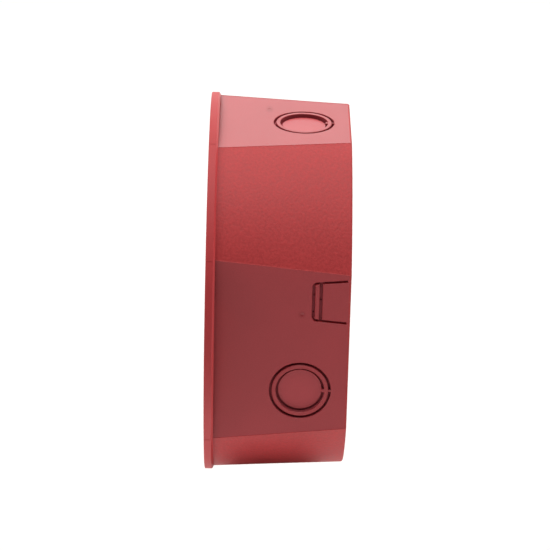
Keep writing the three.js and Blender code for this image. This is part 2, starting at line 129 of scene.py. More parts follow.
def polar(radius, angle):
    return radius * math.cos(angle), radius * math.sin(angle)


def tangents(path):
    """The direction of a path of vectors at each of its points."""
    steps = [(b - a).normalized() for a, b in zip(path, path[1:])]
    return [steps[0]] + [(a + b).normalized() for a, b in zip(steps, steps[1:])] + [steps[-1]]


def rounded(corners, closed=False, steps=4):
    """A 2D path from corners (a, b) or (a, b, radius): each corner with a radius becomes an arc."""
    path, count = [], len(corners)
    for i, corner in enumerate(corners):
        here = Vector(corner[:2])
        radius = corner[2] if len(corner) > 2 else 0.0
        if radius == 0.0 or (not closed and i in (0, count - 1)):
            path.append(tuple(here))
            continue
        to_last = (Vector(corners[i - 1][:2]) - here).normalized()
        to_next = (Vector(corners[(i + 1) % count][:2]) - here).normalized()
        half = to_last.angle(to_next) / 2
        reach = radius / math.tan(half)
        centre = here + (to_last + to_next).normalized() * (radius / math.sin(half))
        first, last = here + to_last * reach - centre, here + to_next * reach - centre
        turn = first.angle_signed(last)
        for k in range(steps + 1):
            angle = -turn * k / steps
            c, s = math.cos(angle), math.sin(angle)
            path.append((centre.x + first.x * c - first.y * s, centre.y + first.x * s + first.y * c))
    return path


def revolved(profile, segments=96, closed=False, ripple=None):
    """A turned body about z from (radius, height) points; a closed profile makes a ring.

    ripple(angle, radius, height) gives what to add to the radius there, for threads and windings.
    """
    points, rings, faces = [], [], []
    for radius, height in profile:
        if radius < ON_AXIS:
            rings.append([len(points)])
            points.append((0.0, 0.0, height))
            continue
        rings.append(list(range(len(points), len(points) + segments)))
        for k in range(segments):
            angle = TURN * k / segments
            reach = radius + (ripple(angle, radius, height) if ripple else 0.0)
            points.append((*polar(reach, angle), height))
    for low, high in zip(rings, rings[1:] + rings[:1] if closed else rings[1:]):
        for k in range(segments):
            n = (k + 1) % segments
            if len(low) == 1 and len(high) == 1:
                continue
            if len(low) == 1:
                faces.append([low[0], high[n], high[k]])
            elif len(high) == 1:
                faces.append([low[k], low[n], high[0]])
            else:
                faces.append([low[k], low[n], high[n], high[k]])
    return points, faces


def lofted(outlines):
    """A closed body through outlines of equal length, each a list of 3D points, capped at both ends."""
    count = len(outlines[0])
    points = [p for outline in outlines for p in outline]
    faces = [list(range(count))[::-1]]
    for level in range(len(outlines) - 1):
        low, high = level * count, (level + 1) * count
        for k in range(count):
            n = (k + 1) % count
            faces.append([low + k, low + n, high + n, high + k])
    faces.append([(len(outlines) - 1) * count + k for k in range(count)])
    return points, faces


def inset(outline, distance):
    """A closed 2D outline, drawn counter-clockwise, moved inwards by a distance."""
    moved_in, count = [], len(outline)
    for i, point in enumerate(outline):
        here = Vector(point)
        before = (here - Vector(outline[i - 1])).normalized()
        after = (Vector(outline[(i + 1) % count]) - here).normalized()
        normal = Vector((-before.y - after.y, before.x + after.x))
        share = distance * 2 / max(normal.length_squared, 0.5)
        moved_in.append((here.x + normal.x * share, here.y + normal.y * share))
    return moved_in


def slab(outline, low, high, ease=0.2, steps=3):
    """A closed outline raised from low to high, its edges eased."""
    turns = [QUARTER * k / steps for k in range(steps + 1)]
    levels = [(low + ease * (1 - math.sin(t)), ease * (1 - math.cos(t))) for t in reversed(turns)]
    levels += [(high - ease * (1 - math.sin(t)), ease * (1 - math.cos(t))) for t in turns]
    return lofted([[(x, y, height) for x, y in inset(outline, amount)] for height, amount in levels])


def rectangle(x0, x1, y0, y1, radius=0.3, steps=3):
    return rounded([(x0, y0, radius), (x1, y0, radius), (x1, y1, radius), (x0, y1, radius)], True, steps)


def drill(radius, low, high, ease=0.25, segments=32):
    """A cutter for a hole from low to high whose edges it eases on both faces."""
    beyond = 2 * ABOVE
    profile = [(0, low - beyond), (radius + ease + beyond, low - beyond), (radius, low + ease),
               (radius, high - ease), (radius + ease + beyond, high + beyond), (0, high + beyond)]
    return revolved(profile, segments)


def ring(inner, outer, low, high, ease=0.2, segments=64):
    return revolved(rectangle(inner, outer, low, high, ease), segments, closed=True)


def swept(path, radius, sides=12):
    """A round wire along 3D points, closed at both ends."""
    path = [Vector(p) for p in path]
    along = tangents(path)
    across = along[0].orthogonal().normalized()
    outlines = []
    for point, tangent in zip(path, along):
        across = (across - tangent * across.dot(tangent)).normalized()
        other = tangent.cross(across)
        circle = [polar(radius, TURN * k / sides) for k in range(sides)]
        outlines.append([point + a * across + b * other for a, b in circle])
    return lofted(outlines)


def smooth_path(corners, steps=10):
    """A Catmull-Rom curve through 3D points."""
    knots = [Vector(c) for c in corners]
    knots = [2 * knots[0] - knots[1]] + knots + [2 * knots[-1] - knots[-2]]
    path = []
    for a, b, c, d in zip(knots, knots[1:], knots[2:], knots[3:]):
        for k in range(steps):
            t = k / steps
            path.append(0.5 * (2 * b + (c - a) * t + (2 * a - 5 * b + 4 * c - d) * t * t
                               + (3 * b - 3 * c + d - a) * t ** 3))
    return path + [knots[-2]]


def drawn_box(node):
    """A CAD node's lowest and highest corners in drawing millimetres."""
    low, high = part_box(node)
    return Vector((low.x, low.z, -high.y)) / MM, Vector((high.x, high.z, -low.y)) / MM


# ---- Blender objects ----------------------------------------------------------------------------

def new_object(name, shape, smooth_angle=30.0):
    mesh = bpy.data.meshes.new(name)
    mesh.from_pydata([tuple(p) for p in shape[0]], [], shape[1])
    tidy = bmesh.new()
    tidy.from_mesh(mesh)
    bmesh.ops.remove_doubles(tidy, verts=tidy.verts, dist=1e-4)
    bmesh.ops.recalc_face_normals(tidy, faces=tidy.faces)
    tidy.to_mesh(mesh)
    tidy.free()
    obj = bpy.data.objects.new(name, mesh)
    obj["smooth_angle"] = smooth_angle
    bpy.context.scene.collection.objects.link(obj)
    return obj


def carved(obj, shapes, operation="DIFFERENCE"):
    """Cuts the shapes, which don't overlap each other, out of obj (or joins them to it)."""
    tool = new_object("tool", combined(shapes))
    modifier = obj.modifiers.new("carve", "BOOLEAN")
    modifier.operation, modifier.solver, modifier.object = operation, "EXACT", tool
    bpy.context.view_layer.update()
    graph = bpy.context.evaluated_depsgraph_get()
    result = bpy.data.meshes.new_from_object(obj.evaluated_get(graph))
    obj.modifiers.clear()
    obj.data = result
    bpy.data.objects.remove(tool)
    return obj


def paint(obj, index, chosen):
    """Gives one of the piece's materials to the faces for which chosen(centre, normal) is true."""
    for face in obj.data.polygons:
        if chosen(face.center, face.normal):
            face.material_index = index
    return obj


def paint_from(obj, start, index):
    """Gives one of the piece's materials to every face from a number on, in the shapes' order."""
    for face in obj.data.polygons[start:]:
        face.material_index = index
    return obj


def settle(obj, body, finishes, *nodes):
    """Turns a drawn piece upright, shades it, and puts it on its body in place of its CAD nodes.

    finishes names the piece's materials in the order of its faces' indices.
    """
    obj.data.transform(UPRIGHT)
    shares = [0] * len(obj.data.polygons)
    obj.data.polygons.foreach_get("material_index", shares)
    obj.data.materials.clear()
    for name in finishes:
        obj.data.materials.append(FINISH[name])
    obj.data.polygons.foreach_set("material_index", [min(i, len(finishes) - 1) for i in shares])
    obj.data.shade_smooth()
    obj.data.set_sharp_from_angle(angle=math.radians(obj["smooth_angle"]))
    weighted = obj.modifiers.new("weighted", "WEIGHTED_NORMAL")
    weighted.mode, weighted.weight, weighted.keep_sharp = "FACE_AREA", 80, True
    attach(obj, body)
    if nodes:
        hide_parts(*nodes)
    return obj


def build_piece(name, node, finishes, shape, cuts=(), smooth_angle=30.0, body="housing"):
    """One CAD node's finer piece: a shape, less the cutters of each group in `cuts` in turn."""
    piece = new_object(name, shape, smooth_angle)
    for group in cuts:
        carved(piece, group)
    return settle(piece, body, finishes, node)


# ---- Materials ----------------------------------------------------------------------------------

PLASTIC_IOR = 1.5


class Nodes:
    """The node tree of a material or a world, with short ways to add nodes and link them."""

    def __init__(self, owner, shader="Principled BSDF"):
        owner.use_nodes = True
        self.owner, self.tree = owner, owner.node_tree
        self.shader = self.tree.nodes[shader]

    def add(self, kind, **settings):
        node = self.tree.nodes.new(kind)
        for key, value in settings.items():
            if key in node.bl_rna.properties:
                setattr(node, key, value)
            else:
                node.inputs[key.replace("_", " ")].default_value = value
        return node

    def link(self, source, target):
        self.tree.links.new(source, target)

    def place(self, stretch=(1, 1, 1)):
        """Object coordinates in millimetres, shrunk along an axis to draw a pattern out along it."""
        coordinates = self.add("ShaderNodeTexCoord")
        scale = self.add("ShaderNodeMapping")
        scale.inputs["Scale"].default_value = [s / MM for s in stretch]
        self.link(coordinates.outputs["Object"], scale.inputs["Vector"])
        return scale.outputs["Vector"]

    def noise(self, place, scale, detail=2.0, roughness=0.5):
        node = self.add("ShaderNodeTexNoise", Scale=scale, Detail=detail, Roughness=roughness)
        self.link(place, node.inputs["Vector"])
        return node.outputs["Fac"]

    def ramp(self, value, stops):
        node = self.add("ShaderNodeValToRGB")
        elements = node.color_ramp.elements
        while len(elements) < len(stops):
            elements.new(0.5)
        for element, (position, colour) in zip(elements, stops):
            element.position = position
            element.color = (*colour, 1.0) if len(colour) == 3 else colour
        self.link(value, node.inputs["Fac"])
        return node.outputs["Color"]

    def darkened(self, colour, by):
        node = self.add("ShaderNodeMix", data_type="RGBA", blend_type="MULTIPLY")
        node.inputs["Factor"].default_value = 1.0
        self.link(colour, node.inputs["A"])
        self.link(by, node.inputs["B"])
        return node.outputs["Result"]

    def span(self, value, low, high):
        """Maps a 0 to 1 value onto low to high."""
        node = self.add("ShaderNodeMapRange", To_Min=low, To_Max=high)
        self.link(value, node.inputs["Value"])
        return node.outputs["Result"]

    def maths(self, operation, first, second):
        """One sum of two values, each an output or a plain number."""
        node = self.add("ShaderNodeMath", operation=operation)
        for value, target in zip((first, second), node.inputs):
            if isinstance(value, float):
                target.default_value = value
            else:
                self.link(value, target)
        return node.outputs["Value"]

    def dress(self, colour, fine, smoothest, roughest, depth):
        """Links a colour, and lets a fine pattern drive the roughness and a bump `depth` millimetres deep."""
        bump = self.add("ShaderNodeBump", Strength=1.0, Distance=depth * MM)
        self.link(fine, bump.inputs["Height"])
        self.link(colour, self.shader.inputs["Base Color"])
        self.link(self.span(fine, smoothest, roughest), self.shader.inputs["Roughness"])
        self.link(bump.outputs["Normal"], self.shader.inputs["Normal"])
        self.shader.inputs["IOR"].default_value = PLASTIC_IOR


def grey(value):
    return (value, value, value)


WHITE = grey(1.0)


def finish(name, dark, light, roughness, metallic=0.0, stretch=(1, 1, 1), cloud=0.08, grain=1.2, depth=0.004,
           coat=0.0, coat_roughness=0.1):
    """A finish whose tint drifts from dark to light, with a fine grain in its gloss and its surface.

    cloud and grain are in cycles per millimetre, and depth is the grain's height in millimetres.
    """
    nodes = Nodes(bpy.data.materials.new(name))
    place = nodes.place(stretch)
    drift = nodes.noise(place, cloud, 3.0, 0.55)
    fine = nodes.noise(place, grain, 3.0, 0.6)
    tint = nodes.ramp(drift, [(0.35, dark), (0.65, light)])
    shade = nodes.ramp(fine, [(0.3, grey(0.94)), (0.7, WHITE)])
    nodes.dress(nodes.darkened(tint, shade), fine, 0.85 * roughness, 1.15 * roughness, depth)
    nodes.shader.inputs["Metallic"].default_value = metallic
    nodes.shader.inputs["Coat Weight"].default_value = coat
    nodes.shader.inputs["Coat Roughness"].default_value = coat_roughness
    return nodes.owner


# Painted shade in the corner by the rim: how far back it reaches, in millimetres, and its colours at the
# corner and near it.
NECK_SHADE_REACH, CORNER_SHADE, NEAR_CORNER_SHADE = 4.0, (0.72, 0.56, 0.60), (0.92, 0.89, 0.90)
MARK_RADIUS, MARK_STRETCH, MARK_SHADE, FAR_AWAY = 2.3, 0.42, (0.80, 0.50, 0.58), 1000.0


def mark_places():
    """Where each flat has its round ejector mark, in millimetres in the row frame."""
    points = []
    for angle, key in FLATS:
        along, height = EJECTOR_MARKS[key]
        points += on_flat(([(hand(angle, key) * along, height, 0)], []), angle)[0]
    return [UPRIGHT @ point / MM for point in points]


def painted_neck_shade(nodes):
    """Painted shade in the corner where the drum and its flats meet the rim: darkest at the rim, fading out
    NECK_SHADE_REACH millimetres back.
    """
    parts = nodes.add("ShaderNodeSeparateXYZ")
    nodes.link(nodes.place(), parts.inputs["Vector"])
    away = nodes.add("ShaderNodeMapRange", From_Min=-NECK, From_Max=NECK_SHADE_REACH - NECK)
    nodes.link(parts.outputs["Y"], away.inputs["Value"])
    on_rim = nodes.maths("LESS_THAN", parts.outputs["Y"], -NECK)
    share = nodes.maths("MAXIMUM", away.outputs["Result"], on_rim)
    return nodes.ramp(share, [(0.0, CORNER_SHADE), (0.4, NEAR_CORNER_SHADE), (1.0, WHITE)])


def ejector_stains(nodes, marks):
    """Soft round shades at the marks, drawn out across the bell."""
    nearest = FAR_AWAY
    stretch = (MARK_STRETCH / MARK_RADIUS, 1 / MARK_RADIUS, 1 / MARK_RADIUS)
    place = nodes.place(stretch)
    for mark in marks:
        away = nodes.add("ShaderNodeVectorMath", operation="DISTANCE")
        nodes.link(place, away.inputs[0])
        away.inputs[1].default_value = [s * part for s, part in zip(stretch, mark)]
        nearest = nodes.maths("MINIMUM", nearest, away.outputs["Value"])
    return nodes.ramp(nearest, [(0.25, MARK_SHADE), (1.0, WHITE)])


def moulded_red(name, tint, contrast, grain, depth, roughness, gloss, marks=()):
    """Red moulded plastic: contrast is how much its spark-eroded texture darkens, depth is in millimetres.

    Round each point of `marks`, drawn out across the bell, the plastic is a little darker.
    """
    nodes = Nodes(bpy.data.materials.new(name))
    place = nodes.place()
    fine = nodes.noise(place, grain, 2.5, 0.6)
    cloud = nodes.noise(place, 0.045, 3.0, 0.5)
    drift = nodes.ramp(cloud, [(0.3, tint), (0.7, tuple(1.06 * part for part in tint))])
    colour = nodes.darkened(drift, nodes.ramp(fine, [(0.32, grey(1 - contrast)), (0.68, WHITE)]))
    # Every red is painted darker towards the corner by the rim, as shade.
    colour = nodes.darkened(colour, painted_neck_shade(nodes))
    if marks:
        colour = nodes.darkened(colour, ejector_stains(nodes, marks))
    nodes.dress(colour, fine, 0.8 * roughness, 1.2 * roughness, depth)
    nodes.shader.inputs["Specular IOR Level"].default_value = gloss
    return nodes.owner


BRUSHED, TURNED = (0.15, 1, 1), (1, 1, 0.15)
REDS = {
    "red_moulding": ("red_moulding_textured", (0.52, 0.047, 0.050), 0.17, 0.75, 0.18, 0.56, 0.27),
    "red_smooth": ("red_moulding_smooth", (0.44, 0.034, 0.043), 0.1, 1.6, 0.012, 0.42, 0.5),
    # A darker red painted as shade deep in the grooves and on the walls round the sunk discs.
    "red_groove": ("red_moulding_groove", (0.30, 0.044, 0.055), 0.06, 2.2, 0.012, 0.7, 0.2),
    "red_disc": ("red_moulding_disc", (0.50, 0.044, 0.056), 0.06, 2.2, 0.012, 0.42, 0.5),
    "red_rim": ("red_moulding_rim", (0.51, 0.048, 0.052), 0.08, 1.4, 0.04, 0.55, 0.27),
    # A lighter red painted on the rim's chamfer as a highlight.
    "red_chamfer": ("red_moulding_chamfer", (0.62, 0.056, 0.062), 0.06, 2.2, 0.012, 0.42, 0.5),
}
METALS = {
    "zinc_plate": ("zinc_plate", (0.56, 0.58, 0.62), (0.68, 0.69, 0.68), 0.34, 1.0, BRUSHED),
    "bright_steel": ("bright_steel", (0.50, 0.51, 0.53), (0.60, 0.60, 0.60), 0.26, 1.0, TURNED),
    "brass": ("brass", (0.68, 0.48, 0.20), (0.78, 0.60, 0.30), 0.28, 1.0, TURNED),
    "solder": ("solder", (0.52, 0.53, 0.55), (0.66, 0.66, 0.66), 0.3, 1.0),
    "can_metal": ("tinned_metal", (0.60, 0.61, 0.63), (0.72, 0.72, 0.72), 0.3, 1.0),
}


def make_finishes():
    marks = {"red_smooth": mark_places()}
    finishes = {key: moulded_red(*row, marks.get(key, ())) for key, row in REDS.items()}
    finishes |= {key: finish(*row) for key, row in METALS.items()}
    return finishes | {
        "red_enamel": finish("red_enamel", (0.40, 0.010, 0.012), (0.45, 0.013, 0.014), 0.32, cloud=0.03,
                             grain=0.45, depth=0.010, coat=0.8, coat_roughness=0.06),
        "winding": finish("copper_winding", (0.36, 0.10, 0.035), (0.50, 0.17, 0.06), 0.32, 0.5, coat=0.5),
        "nylon": finish("natural_nylon", (0.72, 0.68, 0.58), (0.78, 0.75, 0.66), 0.45, depth=0.01),
        "rubber": finish("black_rubber", (0.016, 0.016, 0.017), grey(0.028), 0.8, depth=0.02),
        "board": finish("solder_mask", (0.010, 0.105, 0.040), (0.014, 0.130, 0.050), 0.3, grain=2.2,
                        depth=0.006),
        "board_trace": finish("masked_copper", (0.022, 0.180, 0.070), (0.030, 0.210, 0.085), 0.28),
        "black_plastic": finish("black_plastic", (0.018, 0.018, 0.020), (0.028, 0.028, 0.030), 0.45,
                                depth=0.01),
        "stripe": finish("sleeve_stripe", grey(0.50), grey(0.58), 0.5),
        "band": finish("colour_band", (0.30, 0.30, 0.31), grey(0.42), 0.4),
        "tan_ceramic": finish("tan_lacquer", (0.52, 0.36, 0.19), (0.60, 0.44, 0.25), 0.4),
        "red_wire": finish("red_insulation", (0.42, 0.014, 0.014), (0.50, 0.020, 0.020), 0.42),
    }


# ---- Housing ------------------------------------------------------------------------------------

FLATS = [(0.0, "x"), (QUARTER, "y"), (2 * QUARTER, "x"), (3 * QUARTER, "y")]
FLAT_COLUMNS, EDGE_COLUMNS, DRUM_COLUMNS = 30, 6, 40
EJECTOR_MARKS = {"x": (18.8, 21.7), "y": (16.3, 37.9)}
MARK_DIMPLE_RADIUS, MARK_DIMPLE_DEPTH = 0.9, 0.12
RIM_BACK_EDGE, RIM_FRONT_EDGE, INNER_EDGE_RADIUS, LIP, FLOOR_FILLET = 0.3, 0.45, 0.8, 0.4, 1.0
OUTER_TAB, INNER_TAB = 0.7, 1.4
OUTER_GROOVE_DEPTH, INNER_GROOVE_DEPTH, RACEWAY_GROOVE_DEPTH = 1.7, 2.1, 1.25
FRONT_GROOVE_LINE, FRONT_GROOVE_DEPTH = RACEWAY_FRONT - FRONT_GROOVE / 2, 1.1
CROSS_GROOVE, CROSS_GROOVE_LINE, CROSS_GROOVE_DEPTH = 1.45, 13.4, 1.15
BOSS_RADIUS, BOSS_FOOT, BOSS_TOP, PILOT_RADIUS, PILOT_FLOOR = 6.0, 6.9, 21.7, 2.3, 8.0
BOSSES = [(x, y) for x in (-49.5, 49.5) for y in (-57.7, 57.7)]
SLOT_LENGTH, SLOT_WIDTH, SLOT_X, SLOT_Y = 12, 5, 41.7, 44.5
REAR_ENTRY_RADIUS, REAR_ENTRY_TAB, REAR_ENTRY_PLACE = 11.1, 1.2, (20, 24)
RIB_REACH, RIB_HALF, RIB_TOP = (4, 8.4), 1, 19
WITNESS_DEPTH, WITNESS_HALF, WITNESS_START = 0.18, 0.15, 1.2
DEEP_IN_A_GROOVE, DEEPEST, CORNER_MARGIN, MATCH = 0.76, 2.2, 0.2, 0.02


def hand(angle, key):
    """-1 on the wide flat that faces away from the camera, which repeats the other the right way up."""
    return -1 if key == "x" and math.cos(angle) < 0 else 1


def drum_outline(radius, half_x, half_y, edge, height, ridge=0.0):
    """A circle cut by four flats, always with the same number of points.

    Each edge between a flat and the drum is rounded, with a fine ridge where two mould parts met.
    """
    halves = {"x": half_x, "y": half_y}
    centres, turns = {}, {}
    for key, half in halves.items():
        reach = math.sqrt((radius - edge) ** 2 - (half - edge) ** 2)
        centres[key] = (half - edge, reach)
        turns[key] = math.atan2(reach, half - edge)

    def rounded_edge(key):
        """The edge at the end of a flat, from the flat to the drum."""
        swells = [edge + ridge * math.sin(math.pi * k / EDGE_COLUMNS) for k in range(1, EDGE_COLUMNS + 1)]
        arc = [polar(swell, turns[key] * k / EDGE_COLUMNS) for k, swell in enumerate(swells, start=1)]
        return [(centres[key][0] + a, centres[key][1] + b) for a, b in arc]

    points = []
    for i, (angle, key) in enumerate(FLATS):
        half, reach = halves[key], centres[key][1]
        local = [(half, reach * (2 * k / FLAT_COLUMNS - 1)) for k in range(FLAT_COLUMNS + 1)]
        next_key = FLATS[(i + 1) % 4][1]
        sweep = QUARTER - turns[key] - turns[next_key]
        local += rounded_edge(key)
        local += [polar(radius, turns[key] + sweep * k / DRUM_COLUMNS) for k in range(1, DRUM_COLUMNS)]
        local += [(b, a) for a, b in reversed(rounded_edge(next_key))]
        c, s = math.cos(angle), math.sin(angle)
        points += [(c * a - s * b, s * a + c * b, height) for a, b in local]
    return points


def circle_outline(like, radius, height):
    """A round outline whose points stand at the same angles as those of another outline."""
    return [(radius * x / math.hypot(x, y), radius * y / math.hypot(x, y), height) for x, y, _ in like]


def wall_radius(height):
    return BACK_RADIUS + (FRONT_RADIUS - BACK_RADIUS) * height / NECK


def shell_shape():
    """The moulding's outside up and over the rim, then its inside down to the floor, in one skin."""
    def outer(height, inset=0.0):
        return drum_outline(wall_radius(height) - inset, WIDE_FLAT - inset, NARROW_FLAT - inset,
                            FLAT_EDGE_RADIUS, height, EDGE_RIDGE)

    def inner(height, inset=0.0):
        return drum_outline(wall_radius(height) - WALL - inset, WIDE_FLAT - WALL - inset,
                            NARROW_FLAT - WALL - inset, INNER_EDGE_RADIUS, height)

    quarter = [(1 - math.cos(t), 1 - math.sin(t)) for t in (k * QUARTER / 4 for k in range(5))]
    levels = [outer(BACK_EDGE_RADIUS * a, BACK_EDGE_RADIUS * b) for a, b in quarter]
    levels.append(outer(NECK))
    like = levels[-1]
    rim = rounded([(RIM_RADIUS - RIM_CHAMFER, NECK),
                   (RIM_RADIUS, NECK + CHAMFER_WIDTH, RIM_BACK_EDGE),
                   (RIM_RADIUS, DEPTH, RIM_FRONT_EDGE), (FRONT_RADIUS, DEPTH)])
    levels += [circle_outline(like, radius, height) for radius, height in rim[:-1]]
    levels += [inner(DEPTH - LIP * a, -LIP * b) for a, b in quarter]
    levels += [inner(FLOOR + FLOOR_FILLET * b, FLOOR_FILLET * a) for a, b in quarter]
    return lofted(levels)


def on_flat(shape, angle):
    """Puts a shape drawn on a flat (x along it, y towards the mouth, z outwards) onto a flat."""
    half = WIDE_FLAT if abs(math.cos(angle)) > 0.5 else NARROW_FLAT
    return moved(shape, spin(angle) @ Matrix.Translation((half, 0, 0)) @ axes("YZX"))


def groove_cutter(path, width, depth, lip=0.18, draft=0.12):
    """A cutter along an open 2D path; the surface is at z = 0 and the groove's edges are eased."""
    path = [Vector(p) for p in path]
    along = tangents(path)
    levels = [(-depth, width / 2 - draft), (-lip, width / 2), (ABOVE, width / 2 + lip + ABOVE)]
    points, faces, count = [], [], len(path)
    for height, offset in levels:
        grow = offset - width / 2
        line = list(path)
        line[0], line[-1] = line[0] - along[0] * grow, line[-1] + along[-1] * grow
        for side in (1, -1):
            for p, tangent in zip(line, along):
                points.append((p.x - side * tangent.y * offset, p.y + side * tangent.x * offset, height))

    def index(level, side, k):
        return (2 * level + side) * count + k

    last = len(levels) - 1
    for k in range(count - 1):
        faces.append([index(0, 0, k), index(0, 0, k + 1), index(0, 1, k + 1), index(0, 1, k)])
        faces.append([index(last, 1, k), index(last, 1, k + 1), index(last, 0, k + 1), index(last, 0, k)])
        for level in range(last):
            for side in (0, 1):
                faces.append([index(level, side, k), index(level, side, k + 1),
                              index(level + 1, side, k + 1), index(level + 1, side, k)])
    for level in range(last):
        for k in (0, count - 1):
            faces.append([index(level, 0, k), index(level, 1, k),
                          index(level + 1, 1, k), index(level + 1, 0, k)])
    return points, faces


def arc_path(radius, tab, facing, steps=72):
    """Nearly a whole circle, open by `tab` millimetres at the direction `facing`."""
    gap = tab / 2 / radius
    sweep = TURN - 2 * gap
    angles = [facing + gap + sweep * k / steps for k in range(steps + 1)]
    return [polar(radius, angle) for angle in angles]


def dimple_cutter(radius, depth):
    """A cutter for a shallow round dimple, as an ejector pin leaves."""
    return revolved([(0, -depth), (0.6 * radius, -0.8 * depth), (radius, -0.1 * depth),
                     (1.3 * radius, 0.5), (0, 0.5)], 24)


def knock_out_grooves(offset):
    towards_wall = -QUARTER
    outer = arc_path(KNOCK_OUT_OUTER - OUTER_GROOVE / 2, OUTER_TAB, towards_wall)
    inner = arc_path(KNOCK_OUT_INNER - INNER_GROOVE / 2, INNER_TAB, towards_wall)
    cutters = [groove_cutter(outer, OUTER_GROOVE, OUTER_GROOVE_DEPTH),
               groove_cutter(inner, INNER_GROOVE, INNER_GROOVE_DEPTH)]
    return [at(cutter, offset, KNOCK_OUT_HEIGHT) for cutter in cutters]


def knock_out_disc(offset):
    radius = KNOCK_OUT_INNER - INNER_GROOVE + 0.15
    disc = revolved([(0, -DISC_RECESS), (radius, -DISC_RECESS), (radius, 0.5), (0, 0.5)])
    return at(disc, offset, KNOCK_OUT_HEIGHT)


def raceway_grooves(offset):
    front, back = RACEWAY_FRONT - GROOVE / 2, RACEWAY_BACK + GROOVE / 2
    near, far = RACEWAY_FRONT_WIDTH / 2 - GROOVE / 2, RACEWAY_BACK_WIDTH / 2 - GROOVE / 2
    corners = [(-far, back), (-near, front, 1.7), (near, front, 1.7), (far, back)]
    return [at(groove_cutter(rounded(corners, steps=6), GROOVE, RACEWAY_GROOVE_DEPTH), offset)]


def raceway_cross_grooves(offset):
    """The wider groove along the panel's front edge and the one that crosses the panel behind it."""
    reach = RACEWAY_FRONT_WIDTH / 2 - GROOVE / 2
    rows = [(reach, CROSS_GROOVE_LINE, CROSS_GROOVE, CROSS_GROOVE_DEPTH),
            (reach - 1.4, FRONT_GROOVE_LINE, FRONT_GROOVE, FRONT_GROOVE_DEPTH)]
    return [at(groove_cutter([(-end, line), (end, line)], width, depth), offset)
            for end, line, width, depth in rows]


def raceway_pits(offset):
    """Three small round pits in the floors of the panel's cross grooves."""
    places = [(3.2, FRONT_GROOVE_LINE, FRONT_GROOVE_DEPTH), (-5.1, FRONT_GROOVE_LINE, FRONT_GROOVE_DEPTH),
              (0.9, CROSS_GROOVE_LINE, CROSS_GROOVE_DEPTH)]
    return [at(dimple_cutter(0.45, 0.8), offset + x, y, 0.05 - depth) for x, y, depth in places]


def boss_shape():
    profile = [(0, FLOOR - 0.5), (BOSS_FOOT, FLOOR - 0.5), (BOSS_FOOT, FLOOR),
               (BOSS_RADIUS, FLOOR + BOSS_FOOT - BOSS_RADIUS), (BOSS_RADIUS, BOSS_TOP, 0.3), (0, BOSS_TOP)]
    return revolved(rounded(profile), 48)


def slot_outline(length, width, offset, height, steps=12):
    reach = (length - width) / 2
    points = []
    for side in (1, -1):
        for k in range(steps + 1):
            a, b = polar(width / 2 + offset, -QUARTER + math.pi * k / steps)
            points.append((side * (reach + a), side * b, height))
    return points


def wall_slots():
    """Four slots through the back wall, their edges eased on both faces."""
    ease = 0.3
    levels = [(-1, 1 + ease), (ease, 0), (FLOOR - ease, 0), (FLOOR + 1, 1 + ease)]
    cutter = lofted([slot_outline(SLOT_LENGTH, SLOT_WIDTH, offset, height) for height, offset in levels])
    upright = moved(cutter, spin(QUARTER))
    return [at(cutter, x) for x in (-SLOT_X, SLOT_X)] + [at(upright, 0, y) for y in (-SLOT_Y, SLOT_Y)]


def boss_ribs():
    """A rib from each boss out to the drum wall."""
    ribs = []
    for x, y in BOSSES:
        middle = math.hypot(x, y)
        start, end = (middle + reach for reach in RIB_REACH)
        rib = slab(rectangle(start, end, -RIB_HALF, RIB_HALF, 0.4), FLOOR - 0.6, RIB_TOP, 0.25)
        ribs.append(moved(rib, spin(math.atan2(y, x))))
    return ribs


def rear_entry_groove():
    """The ring round the break-out disc in the back wall."""
    ring_path = arc_path(REAR_ENTRY_RADIUS - GROOVE / 2, REAR_ENTRY_TAB, QUARTER)
    cutter = groove_cutter(ring_path, GROOVE, OUTER_GROOVE_DEPTH)
    return at(moved(cutter, spin(math.pi, "X")), *REAR_ENTRY_PLACE)


def witness_lines():
    """Hairlines across the rim where the mould's four slides meet it, level with the flats' edges."""
    lines = []
    for angle, key in FLATS:
        half = WIDE_FLAT if key == "x" else NARROW_FLAT
        reach = math.sqrt(FRONT_RADIUS ** 2 - half ** 2)
        for side in (1, -1):
            turn = angle + side * math.asin(reach / RIM_RADIUS)
            outline = rectangle(RIM_RADIUS - WITNESS_DEPTH, RIM_RADIUS + 1, -WITNESS_HALF, WITNESS_HALF, 0.08)
            lines.append(moved(slab(outline, NECK + WITNESS_START, DEPTH + 1, 0.02), spin(turn)))
    return lines


def depth_below_flat(centre):
    """How far a point lies under the flat it belongs to, or None off the flats."""
    if centre.z > NECK or centre.z < BACK_EDGE_RADIUS:
        return None
    for along, across, half in ((centre.x, centre.y, WIDE_FLAT), (centre.y, centre.x, NARROW_FLAT)):
        reach = math.sqrt(wall_radius(centre.z) ** 2 - half ** 2)
        if half - DEEPEST < abs(along) < half + MATCH / 2 and abs(across) < reach - CORNER_MARGIN:
            return half - abs(along)
    return None


def on_a_flat(centre, _normal):
    return depth_below_flat(centre) is not None


def painted_shade_in_a_groove(centre, normal):
    """True deep in the grooves and on the wall round a sunk disc, where a darker red is painted as shade."""
    depth = depth_below_flat(centre)
    return depth is not None and depth > DEEP_IN_A_GROOVE and not on_a_disc(centre, normal)


def on_a_disc(centre, normal):
    depth = depth_below_flat(centre)
    facing_out = max(abs(normal.x), abs(normal.y)) > 0.99
    return depth is not None and abs(depth - DISC_RECESS) < MATCH and facing_out


def on_the_rim(centre, _normal):
    """True for the rim's band and its front corner."""
    return centre.z > NECK + CHAMFER_WIDTH and math.hypot(centre.x, centre.y) > RIM_RADIUS - 1


def painted_highlight_on_chamfer(centre, _normal):
    """True for the chamfer behind the rim's band, which is painted a lighter red as a highlight."""
    radius = math.hypot(centre.x, centre.y)
    return NECK < centre.z <= NECK + CHAMFER_WIDTH and radius > RIM_RADIUS - RIM_CHAMFER


